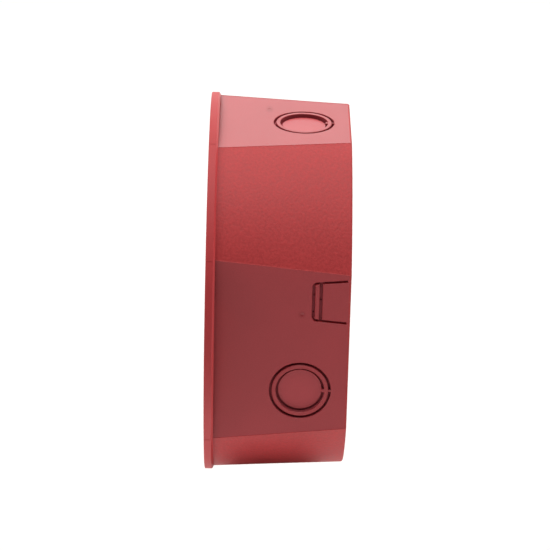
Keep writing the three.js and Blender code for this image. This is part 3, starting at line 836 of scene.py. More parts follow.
def build_housing():
    """The cutters go in three passes, because those in one pass mustn't overlap each other."""
    housing = new_object("housing_moulding", shell_shape())
    carved(housing, boss_ribs(), "UNION")
    carved(housing, [at(boss_shape(), x, y) for x, y in BOSSES], "UNION")
    pilot = rounded([(0, PILOT_FLOOR), (PILOT_RADIUS, PILOT_FLOOR), (PILOT_RADIUS, BOSS_TOP - 0.3),
                     (PILOT_RADIUS + 1.3, BOSS_TOP + 1), (0, BOSS_TOP + 1)])
    passes = [[], [], witness_lines()]
    for angle, key in FLATS:
        mark_x, mark_y = EJECTOR_MARKS[key]
        up = hand(angle, key)
        offset = up * SIDE_KNOCK_OUT_OFFSET if key == "x" else 0
        dimple = at(dimple_cutter(MARK_DIMPLE_RADIUS, MARK_DIMPLE_DEPTH), up * mark_x, mark_y)
        cutters = [knock_out_grooves(offset), [knock_out_disc(offset), dimple], []]
        if key == "x":
            for chosen, draw in zip(cutters, (raceway_grooves, raceway_cross_grooves, raceway_pits)):
                chosen += draw(up * RACEWAY_OFFSET)
        for tools, chosen in zip(passes, cutters):
            tools += [on_flat(cutter, angle) for cutter in chosen]
    passes[0] += wall_slots() + [at(revolved(pilot, 32), x, y) for x, y in BOSSES] + [rear_entry_groove()]
    for tools in passes:
        carved(housing, tools)
    # Deep in the grooves and round the sunk discs a darker red is painted as shade.
    for index, chosen in enumerate((on_a_flat, painted_shade_in_a_groove, on_a_disc, painted_highlight_on_chamfer, on_the_rim), start=1):
        paint(housing, index, chosen)
    # The rim's chamfer is painted a lighter red as a highlight.
    finishes = ["red_moulding", "red_smooth", "red_groove", "red_disc", "red_chamfer", "red_rim"]
    settle(housing, "housing", finishes, "back_box")


# ---- Chassis ------------------------------------------------------------------------------------

EAR_RADIUS, PLATE_RADIUS = 7.0, 58.0
BOSS_SCREW_HOLE, POST_HOLE, EARTH_HOLE, SMALL_HOLE = 2.5, 4.0, 2.0, 1.8
EARTH_PLACE = (-40.0, 0.0)
SOLENOID_SCREWS, BOARD_SCREWS = ((0, -28), (0, -40)), ((-18.5, 26), (18.5, 26))
NOTCH = (-10, 10, 55, 62, 1.5)


def plate_outline():
    """A disc with an ear on the way to each boss, rounded where the ears leave the disc."""
    leave = math.asin(EAR_RADIUS / PLATE_RADIUS)
    ears = sorted((math.atan2(y, x) % TURN, x, y) for x, y in BOSSES)
    corners = []
    for i, (angle, x, y) in enumerate(ears):
        corners.append((*polar(PLATE_RADIUS, angle - leave), 2.0))
        for k in range(17):
            a, b = polar(EAR_RADIUS, angle - QUARTER + math.pi * k / 16)
            corners.append((x + a, y + b))
        corners.append((*polar(PLATE_RADIUS, angle + leave), 2.0))
        following = ears[(i + 1) % 4][0] + (TURN if i == 3 else 0)
        start, sweep = angle + leave, following - angle - 2 * leave
        count = round(sweep / 0.06)
        corners += [polar(PLATE_RADIUS, start + sweep * k / count) for k in range(1, count)]
    return rounded(corners, closed=True, steps=5)


def build_chassis():
    low, high = drawn_box("chassis_plate")
    holes = [(BOSS_SCREW_HOLE, x, y) for x, y in BOSSES] + [(POST_HOLE, 0, 0), (EARTH_HOLE, *EARTH_PLACE)]
    holes += [(SMALL_HOLE, x, y) for x, y in SOLENOID_SCREWS + BOARD_SCREWS]
    tools = [at(drill(radius, low.z, high.z), x, y) for radius, x, y in holes]
    notch = slab(rectangle(*NOTCH), low.z - 1, high.z + 1)
    sheet = slab(plate_outline(), low.z, high.z, 0.25)
    build_piece("chassis_sheet", "chassis_plate", ["zinc_plate"], sheet, [tools + [notch]])


# ---- Fasteners ----------------------------------------------------------------------------------

def cross_recess(reach, depth):
    """A tapered cutter for a cross recess; the head's top is at z = 0."""
    def outline(size, height):
        half = 0.16 * reach + 0.1 * size
        arm = [(size, -half), (size, half), (half, half)]
        quarters = [(1, 0), (0, 1), (-1, 0), (0, -1)]
        return [(c * x - s * y, s * x + c * y, height) for c, s in quarters for x, y in arm]

    return lofted([outline(0.35 * reach, -depth), outline(reach, 0.02), outline(1.15 * reach, 0.6)])


def slot_recess(reach, depth, width):
    return slab(rectangle(-reach - 1, reach + 1, -width / 2, width / 2, 0.1), -depth, 1.0, 0.05)


def helix_phase(angle, height, pitch):
    """How far along its pitch a thread or a winding is at an angle and a height, from 0 to 1."""
    return (height / pitch - angle / TURN) % 1.0


def screw_shape(head_radius, head_height, shank_radius, length):
    """A pan-head machine screw, its head's underside at z = 0 and its thread below."""
    pitch, chamfer = 0.36 * shank_radius, 0.35 * shank_radius
    depth = 0.35 * pitch
    crown = head_height * 0.42

    def thread(angle, radius, height):
        if radius < shank_radius - 1e-6 or height > -1.2 * pitch or height < -length + chamfer:
            return 0.0
        return -depth * abs(2 * helix_phase(angle, height, pitch) - 1)

    rings = int(5 * (length - chamfer) / pitch)
    profile = [(0, -length), (shank_radius - chamfer, -length)]
    profile += [(shank_radius, -length + chamfer + (length - chamfer) * k / rings) for k in range(rings + 1)]
    profile += rounded([(shank_radius + 0.01, 0), (head_radius, 0, 0.12 * head_height),
                        (head_radius, head_height - crown, 0.3 * head_height),
                        (0.62 * head_radius, head_height - 0.05 * crown, 0.8 * head_height),
                        (0, head_height)], steps=5)[1:]
    return revolved(profile, 32, ripple=thread)


def build_screw(node, head_height, shank_radius, finish, slotted=False, facing=1):
    low, high = drawn_box(node)
    head_radius, length = (high.x - low.x) / 2, high.z - low.z - head_height
    screw = new_object(f"{node}_turned", screw_shape(head_radius, head_height, shank_radius, length), 40)
    if slotted:
        tool = slot_recess(head_radius, 0.45 * head_height, 0.28 * head_radius)
    else:
        tool = cross_recess(0.58 * head_radius, 0.55 * head_height)
    carved(screw, [at(tool, z=head_height)])
    seat = high.z - head_height if facing == 1 else low.z + head_height
    place = Matrix.Translation(((low.x + high.x) / 2, (low.y + high.y) / 2, seat))
    if facing == -1:
        place = place @ spin(math.pi, "X")
    screw.data.transform(place @ spin(len(node) * 0.4 + low.x))
    settle(screw, "housing", [finish], node)


def build_fasteners():
    for i in range(4):
        build_screw(f"chassis_screw_{i + 1}", 2.6, 2.0, "zinc_plate")
        build_screw(f"terminal_screw_{i + 1}", 1.8, 1.5, "brass", slotted=True)
    for i in range(2):
        build_screw(f"solenoid_screw_{i + 1}", 2.2, 1.5, "zinc_plate", facing=-1)
        build_screw(f"board_screw_{i + 1}", 2.0, 1.5, "zinc_plate")
    build_screw("earth_screw", 2.4, 1.7, "brass", slotted=True)
    build_screw("gong_screw", 3.0, 3.0, "zinc_plate")


def build_ring(node, inner, finish, ease):
    low, high = drawn_box(node)
    shape = ring(inner, (high.x - low.x) / 2, low.z, high.z, ease)
    shape = at(shape, (low.x + high.x) / 2, (low.y + high.y) / 2)
    build_piece(f"{node}_ring", node, [finish], shape, smooth_angle=40)


def build_lock_washer():
    """The earth terminal's washer: a ring of small twisted teeth."""
    low, high = drawn_box("earth_washer")
    teeth, outer, bore, root = 14, (high.x - low.x) / 2, 2.05, 3.5
    tooth = ((0.0, root), (0.08, outer), (0.52, outer), (0.6, root))
    outline = [polar(radius, TURN * (k + share) / teeth) for k in range(teeth) for share, radius in tooth]
    washer = new_object("earth_lock_washer", slab(outline, low.z, high.z, 0.08))
    carved(washer, [drill(bore, low.z, high.z, 0.1)])
    washer.data.transform(Matrix.Translation((*EARTH_PLACE, 0)))
    settle(washer, "housing", ["zinc_plate"], "earth_washer")


# ---- Gong and its post --------------------------------------------------------------------------

GONG_THICKNESS, GONG_SHOULDER, GONG_HOLE, SEAT_RADIUS = 1.6, 13.0, 3.9, 10.0
STEP_INNER, STEP_OUTER, STEP_HEIGHT = 21.5, 25.5, 0.55
DECK, STUD, STUD_PITCH, WASHER_BORE = 24.3, 3.7, 1.0, 3.4


def dome_height(radius, mouth, crown, reach):
    """The dome's outside at a radius: a quarter ellipse with a flat seat and one pressed ring."""
    shoulder = mouth + GONG_SHOULDER
    if radius <= SEAT_RADIUS:
        return crown
    share = (radius - SEAT_RADIUS) / (reach - SEAT_RADIUS)
    height = shoulder + (crown - shoulder) * math.sqrt(max(0.0, 1 - share ** 2.3))
    step = 1 / (1 + math.exp((radius - STEP_OUTER) * 3.0)) - 1 / (1 + math.exp((radius - STEP_INNER) * 3.0))
    return height - STEP_HEIGHT * max(0.0, step)


def build_gong():
    low, high = drawn_box("gong")
    mouth, crown, radius = low.z, high.z, (high.x - low.x) / 2
    reach = radius - 0.5

    def wall(offset):
        radii = [SEAT_RADIUS * k / 4 for k in range(1, 5) if SEAT_RADIUS * k / 4 > GONG_HOLE + 0.5]
        radii += [SEAT_RADIUS + (reach - SEAT_RADIUS) * math.sin(QUARTER * k / 48) for k in range(1, 49)]
        curve = [(r, dome_height(r, mouth, crown, reach)) for r in radii]
        line = [Vector(p) for p in curve]
        return [(p.x + t.y * offset, p.y - t.x * offset) for p, t in zip(line, tangents(line))]

    outer, inner = wall(0.0), wall(GONG_THICKNESS)
    lip = rounded([(reach, mouth + 8), (radius, mouth, 0.6), (radius - GONG_THICKNESS, mouth, 0.6),
                   (reach - GONG_THICKNESS, mouth + 8)], steps=5)
    seat = rounded([(SEAT_RADIUS, crown - GONG_THICKNESS), (GONG_HOLE, crown - GONG_THICKNESS, 0.25),
                    (GONG_HOLE, crown, 0.35), (SEAT_RADIUS, crown)], steps=3)[1:-1]
    profile = outer + lip + inner[::-1] + seat
    build_piece("gong_shell", "gong", ["red_enamel"], revolved(profile, 192, closed=True), smooth_angle=40)


def build_post():
    low, high = drawn_box("gong_post")
    profile = rounded([(0, low.z), (STUD, low.z, 0.7), (STUD, DECK - 2.6, 0.1), (3.2, DECK - 2.2, 0.1),
                       (3.2, DECK), (8.0, DECK, 0.3), (8.0, DECK + 2, 0.3), (4.5, DECK + 2, 0.4),
                       (4.5, high.z, 0.5), (3.3, high.z, 0.4), (3.3, 40.0), (0, 40.0)])

    def stud_thread(angle, radius, height):
        if abs(radius - STUD) > 0.01 or not low.z + 0.8 < height < DECK - 2.7:
            return 0.0
        return -0.3 * abs(2 * helix_phase(angle, height, STUD_PITCH) - 1)

    start = next(i for i, p in enumerate(profile) if abs(p[0] - STUD) < 1e-6)
    stud = [(STUD, low.z + 0.7 + (DECK - 3.5 - low.z) * k / 32) for k in range(33)]
    profile = profile[:start + 1] + stud + profile[start + 1:]
    post = revolved(profile, 64, ripple=stud_thread)
    flats = [slab(rectangle(x, x + 3, -5, 5), DECK + 6, DECK + 12) for x in (4.1, -7.1)]
    build_piece("gong_post_turned", "gong_post", ["zinc_plate"], post, [flats], 35)


def build_nut():
    low, high = drawn_box("post_nut")
    corner = (high.x - low.x) / 2
    hexagon = [polar(corner, k * math.pi / 3) for k in range(6)]
    nut = new_object("post_nut_hex", slab(hexagon, low.z, high.z, 0.02))
    flat = corner * math.cos(math.pi / 6)
    barrel = revolved([(0, low.z), (flat - 0.2, low.z), (corner, low.z + 1.0), (corner, high.z - 1.0),
                       (flat - 0.2, high.z), (0, high.z)], 72)
    carved(nut, [barrel], "INTERSECT")
    carved(nut, [drill(POST_HOLE, low.z, high.z, 0.5)])
    settle(nut, "housing", ["zinc_plate"], "post_nut")


def build_washers():
    build_ring("gong_washer_inner", WASHER_BORE, "rubber", 0.3)
    build_ring("gong_washer_outer", WASHER_BORE, "rubber", 0.25)
    build_ring("gong_washer_steel", WASHER_BORE, "zinc_plate", 0.2)


# ---- Striker: drawn with z along the stroke and y towards the gong's crown ----------------------

STRIKER = Matrix.Translation((0, -22, 39)) @ spin(QUARTER, "X")
CHEEK, FRAME_LENGTH, CHEEK_HALF, FRAME_BASE, FRAME_HOLE = 1.6, 24.0, 11.0, 14.7, 5.6
GUIDE_BORE, GUIDE_RADIUS, COLLAR_RADIUS, COIL_RADIUS, COIL_CORE, WIRE = 4.8, 5.3, 7.2, 12.0, 6.9, 0.62
PLUNGER_RADIUS, CLIP_GROOVE_RADIUS, ROD_BORE, ROD_RADIUS, TIP_RADIUS = 4.5, 3.4, 2.3, 2.0, 3.6


def in_striker(name, node, body, finish, shape, smooth_angle=40):
    return build_piece(name, node, [finish], moved(shape, STRIKER), (), smooth_angle, body)


def turned_in_striker(name, node, body, finish, segments, corners, closed=False, steps=4):
    shape = revolved(rounded(corners, closed, steps), segments, closed)
    in_striker(name, node, body, finish, shape)


def build_solenoid_frame():
    """One strip bent into a U: the sole on the chassis and two cheeks with rounded tops."""
    top = CHEEK_HALF
    u_line = rounded([(0, -FRAME_BASE, 2.0), (FRAME_LENGTH, -FRAME_BASE, 2.0), (FRAME_LENGTH, top),
                      (FRAME_LENGTH - CHEEK, top), (FRAME_LENGTH - CHEEK, CHEEK - FRAME_BASE, 0.5),
                      (CHEEK, CHEEK - FRAME_BASE, 0.5), (CHEEK, top), (0, top)], True, 5)
    strip = slab(u_line, -CHEEK_HALF, CHEEK_HALF, 0.15)
    bracket = new_object("solenoid_bracket", moved(strip, axes("ZYX")))
    arch = [polar(CHEEK_HALF, math.pi * k / 24) for k in range(25)]
    arch += [(-CHEEK_HALF, -FRAME_BASE - 1), (CHEEK_HALF, -FRAME_BASE - 1)]
    carved(bracket, [slab(arch, -1, FRAME_LENGTH + 1, 0.01)], "INTERSECT")
    holes = [at(drill(FRAME_HOLE, 0, CHEEK, 0.2, 48), z=start) for start in (0, FRAME_LENGTH - CHEEK)]
    screw_hole = moved(drill(SMALL_HOLE, 0, CHEEK), spin(-QUARTER, "X"))
    holes += [at(screw_hole, 0, -FRAME_BASE, -22 - y) for _, y in SOLENOID_SCREWS]
    carved(bracket, holes)
    bracket.data.transform(STRIKER)
    settle(bracket, "housing", ["zinc_plate"], "solenoid_frame")


def build_winding():
    rear, front, flange, core, outer = 1.9, 22.1, 1.2, 6.6, 12.4
    turned_in_striker("bobbin", "solenoid_bobbin", "housing", "nylon", 96, [
        (FRAME_HOLE, rear), (outer, rear, 0.3), (outer, rear + flange, 0.3), (core, rear + flange, 0.3),
        (core, front - flange, 0.3), (outer, front - flange, 0.3), (outer, front, 0.3), (FRAME_HOLE, front),
    ], True)
    start, end = rear + flange + 0.3, front - flange - 0.3

    def turns(angle, reach, height):
        if reach < COIL_RADIUS - 0.2:
            return 0.0
        phase = helix_phase(angle, height, WIRE)
        return math.sqrt(max(0.0, 0.25 - (phase - 0.5) ** 2)) * WIRE - 0.5 * WIRE

    count = int(8 * (end - start) / WIRE)
    face = [(COIL_RADIUS, start + 0.2 + (end - start - 0.4) * k / count) for k in range(count + 1)]
    profile = [(COIL_CORE, start), (COIL_RADIUS - 0.3, start)] + face
    profile += [(COIL_RADIUS - 0.3, end), (COIL_CORE, end)]
    winding = revolved(profile, 64, closed=True, ripple=turns)
    in_striker("coil_winding", "solenoid_coil", "housing", "winding", winding, 60)


def build_striker():
    turned_in_striker("guide_sleeve", "guide_tube", "housing", "brass", 72, [
        (GUIDE_BORE, -1.3, 0.15), (COLLAR_RADIUS, -1.3, 0.25), (COLLAR_RADIUS, -0.3, 0.25),
        (GUIDE_RADIUS, -0.3, 0.15), (GUIDE_RADIUS, 25.6, 0.15), (GUIDE_BORE, 25.6, 0.15),
    ], True, 3)
    turned_in_striker("bumper_moulding", "stop_bumper", "housing", "rubber", 64, [
        (5.6, 24.3, 0.2), (COLLAR_RADIUS, 24.3, 0.5), (COLLAR_RADIUS, 27.6, 0.8), (2.4, 27.6, 0.5),
        (2.4, 25.9, 0.2), (5.6, 25.9, 0.2),
    ], True, 5)
    turned_in_striker("plunger_turned", "plunger", "striker", "bright_steel", 72, [
        (0, -13.4), (PLUNGER_RADIUS, -13.4, 0.4), (PLUNGER_RADIUS, -12.9, 0.1),
        (CLIP_GROOVE_RADIUS, -12.9, 0.15), (CLIP_GROOVE_RADIUS, -11.5, 0.15), (PLUNGER_RADIUS, -11.5, 0.1),
        (PLUNGER_RADIUS, 12.0, 0.5), (ROD_BORE, 12.0, 0.3), (ROD_BORE, 7.0, 0.1), (0, 7.0),
    ])
    turned_in_striker("rod_turned", "striker_rod", "striker", "brass", 48, [
        (0, 7.3), (ROD_RADIUS, 7.3, 0.4), (ROD_RADIUS, 31.0, 0.4), (0, 31.0),
    ])
    turned_in_striker("tip_moulding", "striker_tip", "striker", "nylon", 64, [
        (0, 31.3), (ROD_BORE, 31.3, 0.1), (ROD_BORE, 27.9, 0.3), (TIP_RADIUS, 27.9, 0.4),
        (TIP_RADIUS, 34.1, 2.8), (0, 34.1),
    ], steps=8)
    build_clip()
    build_spring()


def build_clip():
    """A snap ring with a lug at each end, open towards the gong's crown."""
    inner, outer, opening, lug = 3.7, 5.2, 0.5, 0.22
    start, sweep, lug_reach = QUARTER + opening, TURN - 2 * opening, 6.2
    steps = [lug - 0.01, lug + 0.01, sweep - lug - 0.01, sweep - lug + 0.01]
    turns = sorted([sweep * k / 48 for k in range(49)] + steps)
    outline = [polar(lug_reach if min(t, sweep - t) < lug else outer, start + t) for t in turns]
    outline += [polar(inner, start + t) for t in reversed(turns)]
    clip = slab(outline, -12.6, -11.8, 0.1)
    in_striker("clip_stamping", "spring_clip", "striker", "bright_steel", clip, 30)


def build_spring():
    """The return spring, its end coils closed."""
    radius, wire, turns, start, end, end_turns = 5.35, 0.4, 5.0, -11.1, -2.0, 0.7
    closed = 2 * wire * end_turns
    path = []
    for k in range(int(turns * 32) + 1):
        turn = k / 32
        share = min(1.0, max(0.0, (turn - end_turns) / (turns - 2 * end_turns)))
        height = start + closed * min(1.0, turn / end_turns) + (end - start - 2 * closed) * share
        height += closed * max(0.0, (turn - turns + end_turns) / end_turns)
        path.append((*polar(radius, TURN * turn), height))
    coil = swept(path, wire, 12)
    spring = in_striker("return_spring_wire", "return_spring", "housing", "bright_steel", coil)
    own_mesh(spring)


# ---- Driver board -------------------------------------------------------------------------------

PADS = [(-11.5, 27), (-6.5, 27), (3, 20), (13, 20), (3, 26.5), (13, 26.5), (5.5, 35), (8, 35), (10.5, 35),
        (-6, 16.5), (6, 16.5), (-16, 35.5), (-12, 35.5), (16, 35.5)]
TRACKS = [(0, 11), (1, 4), (2, 10), (3, 5), (5, 13), (6, 12), (9, 2)]
PAD_PROFILE = [(0, -0.2), (1.15, -0.2), (1.15, 0.04), (0.75, 0.12), (0.45, 0.28), (0, 0.28)]


def build_board():
    """The board with its masked tracks from pad to pad, each track a hair above the one before."""
    low, high = drawn_box("circuit_board")
    sheet = slab(rectangle(low.x, high.x, low.y, high.y, 1.5, 6), low.z, high.z, 0.12)
    holes = [at(drill(SMALL_HOLE, low.z, high.z, 0.1), x, y) for x, y in BOARD_SCREWS]
    build_piece("circuit_board_sheet", "circuit_board", ["board"], sheet, [holes])
    shapes = []
    for i, (first, last) in enumerate(TRACKS):
        start = PADS[first]
        along = Vector(PADS[last]) - Vector(start)
        top = high.z + 0.05 + 0.003 * i
        strip = slab(rectangle(0, along.length, -0.6, 0.6, 0.5), high.z - 0.2, top, 0.03)
        turn = spin(math.atan2(along.y, along.x))
        shapes.append(at(moved(strip, turn), *start))
    trace_faces = sum(len(faces) for _, faces in shapes)
    for x, y in PADS:
        for side, face in ((1, high.z), (-1, low.z)):
            shapes.append(at(revolved([(r, side * h) for r, h in PAD_PROFILE], 20), x, y, face))
    copper = new_object("board_copper", combined(shapes))
    paint_from(copper, 0, 1)
    paint_from(copper, trace_faces, 2)
    settle(copper, "housing", ["board", "board_trace", "solder"])
    for i in (1, 2):
        build_ring(f"board_spacer_{i}", 1.85, "nylon", 0.2)


def bent_leads(reach, drop, radius=0.36):
    """Both leads of an axial part, going out along x and down to the board."""
    leads = []
    for side in (1, -1):
        path = rounded([(side * 1.5, 0), (side * reach, 0, 0.9), (side * reach, -drop)], steps=5)
        leads.append(swept([(x, 0, z) for x, z in path], radius, 10))
    return leads


def build_capacitor():
    low, high = drawn_box("capacitor")
    x, y, radius = (low.x + high.x) / 2, (low.y + high.y) / 2, (high.x - low.x) / 2
    height = high.z - low.z
    profile = rounded([(0, 0), (radius - 0.25, 0, 0.3), (radius, 0.5, 0.3), (radius, 1.6, 0.3),
                       (radius - 0.55, 2.2, 0.4), (radius, 2.8, 0.3), (radius, height, 0.7),
                       (radius - 1.0, height, 0.15), (radius - 1.15, height - 0.3, 0.1), (0, height - 0.3)])
    can = new_object("capacitor_can", revolved(profile, 64), 35)
    score = [slab(rectangle(-3, 3, -0.2, 0.2, 0.1), -0.5, 1, 0.02)]
    score += [moved(score[0], spin(math.pi * k / 3)) for k in (1, 2)]
    for cut in score:
        carved(can, [at(cut, z=height - 0.3)])

    def on_stripe(centre, _normal):
        outside = math.hypot(centre.x, centre.y) > radius - 0.6
        return centre.z > 0.4 and outside and abs(math.atan2(centre.y, centre.x)) < 0.42

    paint(can, 1, lambda c, _: c.z > height - 0.9 and math.hypot(c.x, c.y) < radius - 1.05)
    paint(can, 2, on_stripe)
    can.data.transform(Matrix.Translation((x, y, low.z)) @ spin(-2.0))
    settle(can, "housing", ["black_plastic", "can_metal", "stripe"], "capacitor")


def build_transistor():
    low, high = drawn_box("drive_transistor")
    middle, legs = (low.x + high.x) / 2, 1.3
    body = slab(rectangle(low.x + 0.1, high.x - 0.1, low.y + 1.0, high.y, 0.3), low.z + legs, low.z + 8, 0.3)
    tab_outline, thick = rectangle(low.x, high.x, low.z + legs + 0.6, high.z, 0.8), 1.3
    stand = spin(QUARTER, "X")
    tab = new_object("transistor", at(moved(slab(tab_outline, 0, thick, 0.1), stand), y=low.y + thick))
    bore = moved(drill(SMALL_HOLE, 0, thick, 0.15), stand)
    carved(tab, [at(bore, middle, low.y + thick, high.z - 2.7)])
    paint_from(tab, 0, 1)
    leg = slab(rectangle(-0.4, 0.4, -0.25, 0.25, 0.05), low.z - 0.1, low.z + legs + 0.5, 0.02)
    rest = combined([body] + [at(leg, middle + x, low.y + 2.6) for x in (-2.5, 0, 2.5)])
    rest = paint_from(new_object("transistor_body", rest), len(body[1]), 1)
    for piece in (tab, rest):
        settle(piece, "housing", ["black_plastic", "can_metal"], "drive_transistor")


def build_axial(node, profile, finish, drop, band_of):
    low, high = drawn_box(node)
    centre = (low + high) / 2
    body = moved(revolved(profile, 40), spin(QUARTER, "Y"))
    part = new_object(f"{node}_part", combined([body] + bent_leads((high.x - low.x) / 2 - 0.4, drop)), 35)
    radius = max(r for r, _ in profile)
    paint(part, 1, lambda c, _: abs(c.x) > abs(profile[0][1]) - 0.05 or math.hypot(c.y, c.z) < 0.4)
    paint(part, 2, lambda c, _: math.hypot(c.y, c.z) > 0.6 * radius and band_of(c.x))
    part.data.transform(Matrix.Translation(centre))
    settle(part, "housing", [finish, "can_metal", "band"], node)


def build_components():
    build_capacitor()
    build_transistor()
    stations = [-3.0 + 0.25 * k for k in range(25)]
    barrel = [(0, -3.0)] + rounded([(1.3, -3.0, 0.2), (1.6, -2.7, 0.2)], steps=3)
    barrel += [(1.6, z) for z in stations[2:-2]] + [(1.6, 2.7), (1.3, 3.0), (0, 3.0)]
    build_axial("flyback_diode", barrel, "black_plastic", 1.9, lambda x: 1.6 < x < 2.5)

    def dumbbell_radius(z):
        bulge = min(1.0, max(0.0, (abs(z) - 1.7) / 0.4)) * min(1.0, (3.2 - abs(z)) / 0.45 + 0.35)
        return 0.92 + 0.28 * bulge

    stations = [-3.1 + 0.1 * k for k in range(63)]
    dumbbell = [(0, -3.2), (0.7, -3.2)] + [(dumbbell_radius(z), z) for z in stations] + [(0.7, 3.2), (0, 3.2)]
    bands = (-2.4, -1.2, -0.4, 2.3)
    build_axial("resistor", dumbbell, "tan_ceramic", 1.5, lambda x: any(abs(x - b) < 0.24 for b in bands))


def build_terminals():
    low, high = drawn_box("terminal_block")
    places = (-12, -4, 4, 12)
    block = slab(rectangle(low.x, high.x, low.y, high.y, 0.5), low.z, high.z, 0.4)
    centre = (low.y + high.y) / 2
    wells = [at(revolved([(0, low.z + 4), (2.8, low.z + 4), (2.8, high.z - 0.3), (3.3, high.z + 0.2),
                          (3.3, high.z + 1), (0, high.z + 1)], 40), x, centre) for x in places]
    entry = slab(rectangle(-2.5, 2.5, low.z + 1.2, low.z + 6.2, 0.5), centre, high.y + 1, 0.05)
    entries = [at(moved(entry, axes("XZY")), x) for x in places]
    grooves = [slab(rectangle(x - 0.35, x + 0.35, low.y - 1, high.y + 1, 0.2), high.z - 0.8, high.z + 1, 0.1)
               for x in (-8, 0, 8)]
    build_piece("terminal_moulding", "terminal_block", ["black_plastic"], block, [wells, entries, grooves])


LEAD_ROUTE = [(13.4, -27, 36), (13.8, -21, 33.5), (11, -10, 30), (8, 2, 30), (6.4, 11, 31.5), (6, 16.5, 30.9)]


def build_leads():
    """The coil's two leads, from the bobbin to the board, each with a bare end that dips into its pad."""
    for side, colour, finish in ((1, "red", "red_wire"), (-1, "black", "black_plastic")):
        path = smooth_path([(side * x, y, z) for x, y, z in LEAD_ROUTE])
        lead = swept(path, 0.7, 16)
        end = Vector(path[-1])
        bare = [end + Vector(step) for step in ((0, -0.6, 0), (0, 0.3, -0.3), (0, 0.45, -1.0))]
        tail = swept(smooth_path(bare, 5), 0.35, 12)
        piece = new_object(f"coil_lead_{colour}_wire", combined([lead, tail]), 50)
        paint_from(piece, len(lead[1]), 1)
        settle(piece, "housing", [finish, "solder"], f"coil_lead_{colour}")


# ---- Stage --------------------------------------------------------------------------------------

FLOOR_DROP, FLOOR_SPAN = 0.51, (-6.0, 6.0)
FLAG_DROP, FLAG_SPAN, FLAG_MARGIN = 0.004, (-0.08, 0.085), 0.011


def area_light(name, place, target, size, power):
    data = bpy.data.lights.new(name, "AREA")
    data.shape, data.size, data.energy = "SQUARE", size, power
    light = bpy.data.objects.new(name, data)
    light.location = place
    light.rotation_euler = (Vector(target) - Vector(place)).to_track_quat("-Z", "Y").to_euler()
    light.visible_camera = False
    bpy.context.scene.collection.objects.link(light)


def build_card(name, x_span, y_span, height, pattern, tones, roughness):
    """A level sheet of the stage, in metres, its tone drifting between two greys."""
    nodes = Nodes(bpy.data.materials.new(f"{name}_paint"))
    tone = nodes.ramp(nodes.noise(nodes.place(), pattern), [(0.3, grey(tones[0])), (0.7, grey(tones[1]))])
    nodes.link(tone, nodes.shader.inputs["Base Color"])
    nodes.shader.inputs["Roughness"].default_value = roughness
    (x0, x1), (y0, y1) = x_span, y_span
    mesh = bpy.data.meshes.new(name)
    corners = [(x0, y0, height), (x1, y0, height), (x1, y1, height), (x0, y1, height)]
    mesh.from_pydata(corners, [], [[0, 1, 2, 3]])
    mesh.materials.append(nodes.owner)
    card = bpy.data.objects.new(name, mesh)
    bpy.context.scene.collection.objects.link(card)
    return card


def build_floor():
    floor = build_card("floor", FLOOR_SPAN, FLOOR_SPAN, cad_box[0].z - FLOOR_DROP, 0.004, (0.86, 0.88), 0.9)


def build_flag():
    """A dark card just under the bell, out of the camera's sight, that keeps the floor's light off it."""
    low, high = cad_box
    depth_span = (low.y + FLAG_MARGIN, high.y - FLAG_MARGIN)
    flag = build_card("flag", FLAG_SPAN, depth_span, low.z - FLAG_DROP, 0.5, (0.04, 0.06), 1.0)
    flag.visible_camera = False


HEIGHT_BANDS = {
    "ceiling": [(0.7, 0.0), (0.95, 1.0)],
    "high": [(0.3, 0.0), (0.55, 1.0), (0.7, 1.0), (0.95, 0.0)],
    "middle": [(0.05, 0.0), (0.3, 1.0), (0.55, 0.0)],
    "low": [(-0.3, 0.0), (0.0, 1.0), (0.05, 1.0), (0.3, 0.0)],
}
ACROSS_BANDS = {
    "far": [(-0.5, 1.0), (0.0, 0.0)],
    "beside": [(-0.5, 0.0), (0.0, 1.0), (0.5, 0.0)],
}
ALONG_BANDS = {"wall": [(-0.25, 0.0), (0.25, 1.0)]}
ROOM = [
    ("ceiling", None, None, 0.93), ("high", "far", None, 1.2), ("high", "beside", None, 0.5),
    ("middle", "far", None, 0.35), ("middle", "beside", "wall", 0.6),
    ("low", "far", None, 1.5), ("low", "beside", "wall", 0.9),
]
ROOM_COLOUR = (1.0, 0.99, 0.94, 1.0)
BELL_SIDE = (0.06, -0.03, 0.0)
AREA_LIGHTS = [
    ("overhead", (0, -0.03, 1.2), (0, -0.03, 0), 0.8, 7.8),
    ("high_side", (0.5, 0.02, 1.05), BELL_SIDE, 0.25, 0.8),
    ("mouth_side", (0.3, -1.0, 0.05), BELL_SIDE, 0.6, 3.0),
    ("wall_side", (0.3, 0.9, 0.05), BELL_SIDE, 0.6, 1.0),
    ("underside", (0.3, -0.03, -0.55), (0.06, -0.03, -0.05), 0.3, 0.9),
    ("backdrop", (-1.8, 0, 0.9), (-1.8, 0, -1), 1.4, 17.0),
]


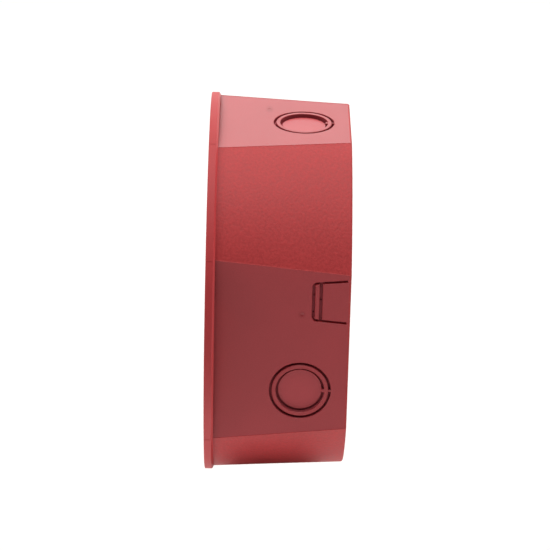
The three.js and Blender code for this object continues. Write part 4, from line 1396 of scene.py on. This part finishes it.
def build_studio():
    """A soft room whose ceiling and walls are lit by patches, with a few area lights."""
    world = bpy.data.worlds.new("studio")
    bpy.context.scene.world = world
    nodes = Nodes(world, "Background")
    parts = nodes.add("ShaderNodeSeparateXYZ")
    nodes.link(nodes.add("ShaderNodeTexCoord").outputs["Generated"], parts.inputs["Vector"])

    def band(axis, stops):
        """Brightness by one part of the direction, from -1 to 1."""
        place = nodes.add("ShaderNodeMapRange", From_Min=-1.0)
        nodes.link(parts.outputs[axis], place.inputs["Value"])
        return nodes.ramp(place.outputs["Result"], [((part + 1) / 2, grey(value)) for part, value in stops])

    light = 0.0
    for height, across, along, strength in ROOM:
        patch = nodes.maths("MULTIPLY", band("Z", HEIGHT_BANDS[height]), strength)
        if across:
            patch = nodes.maths("MULTIPLY", patch, band("X", ACROSS_BANDS[across]))
        if along:
            patch = nodes.maths("MULTIPLY", patch, band("Y", ALONG_BANDS[along]))
        light = nodes.maths("ADD", light, patch)
    nodes.link(light, nodes.shader.inputs["Strength"])
    nodes.shader.inputs["Color"].default_value = ROOM_COLOUR
    for name, place, target, size, power in AREA_LIGHTS:
        area_light(name, place, target, size, power)


# ---- Camera -------------------------------------------------------------------------------------

def build_camera():
    """The camera of the photograph: from the +X side, a little above, turned and rolled slightly."""
    elevation, yaw, roll = math.radians(24.6), math.radians(0.40), math.radians(-1.128)
    distance, lift, aim_depth, sensor, focal = 1.228, 0.003, 0.03365, 36.0, 167.7
    along = Vector((0, 1, 0))
    up = Vector((-math.sin(elevation), 0, math.cos(elevation)))
    out = Vector((math.cos(elevation), 0, math.sin(elevation)))
    flat_right = math.cos(yaw) * along + math.sin(yaw) * out
    right = math.cos(roll) * flat_right - math.sin(roll) * up
    top = math.sin(roll) * flat_right + math.cos(roll) * up
    back = -math.sin(yaw) * along + math.cos(yaw) * out
    place = Vector((0, -aim_depth, 0)) + back * distance + top * lift
    data = bpy.data.cameras.new("camera")
    data.sensor_width, data.lens = sensor, focal
    data.clip_start, data.clip_end = 0.05, 20
    camera = bpy.data.objects.new("camera", data)
    camera.matrix_world = Matrix((
        (right.x, top.x, back.x, place.x), (right.y, top.y, back.y, place.y),
        (right.z, top.z, back.z, place.z), (0, 0, 0, 1)))
    bpy.context.scene.collection.objects.link(camera)
    bpy.context.scene.camera = camera


# ---- Build --------------------------------------------------------------------------------------

FINISH = make_finishes()

build_camera()
build_floor()
build_flag()
build_studio()
build_housing()
build_chassis()
build_fasteners()
build_lock_washer()
build_gong()
build_post()
build_nut()
build_washers()
build_solenoid_frame()
build_winding()
build_striker()
build_board()
build_components()
build_terminals()
build_leads()

bpy.context.scene.view_settings.view_transform = "Standard"
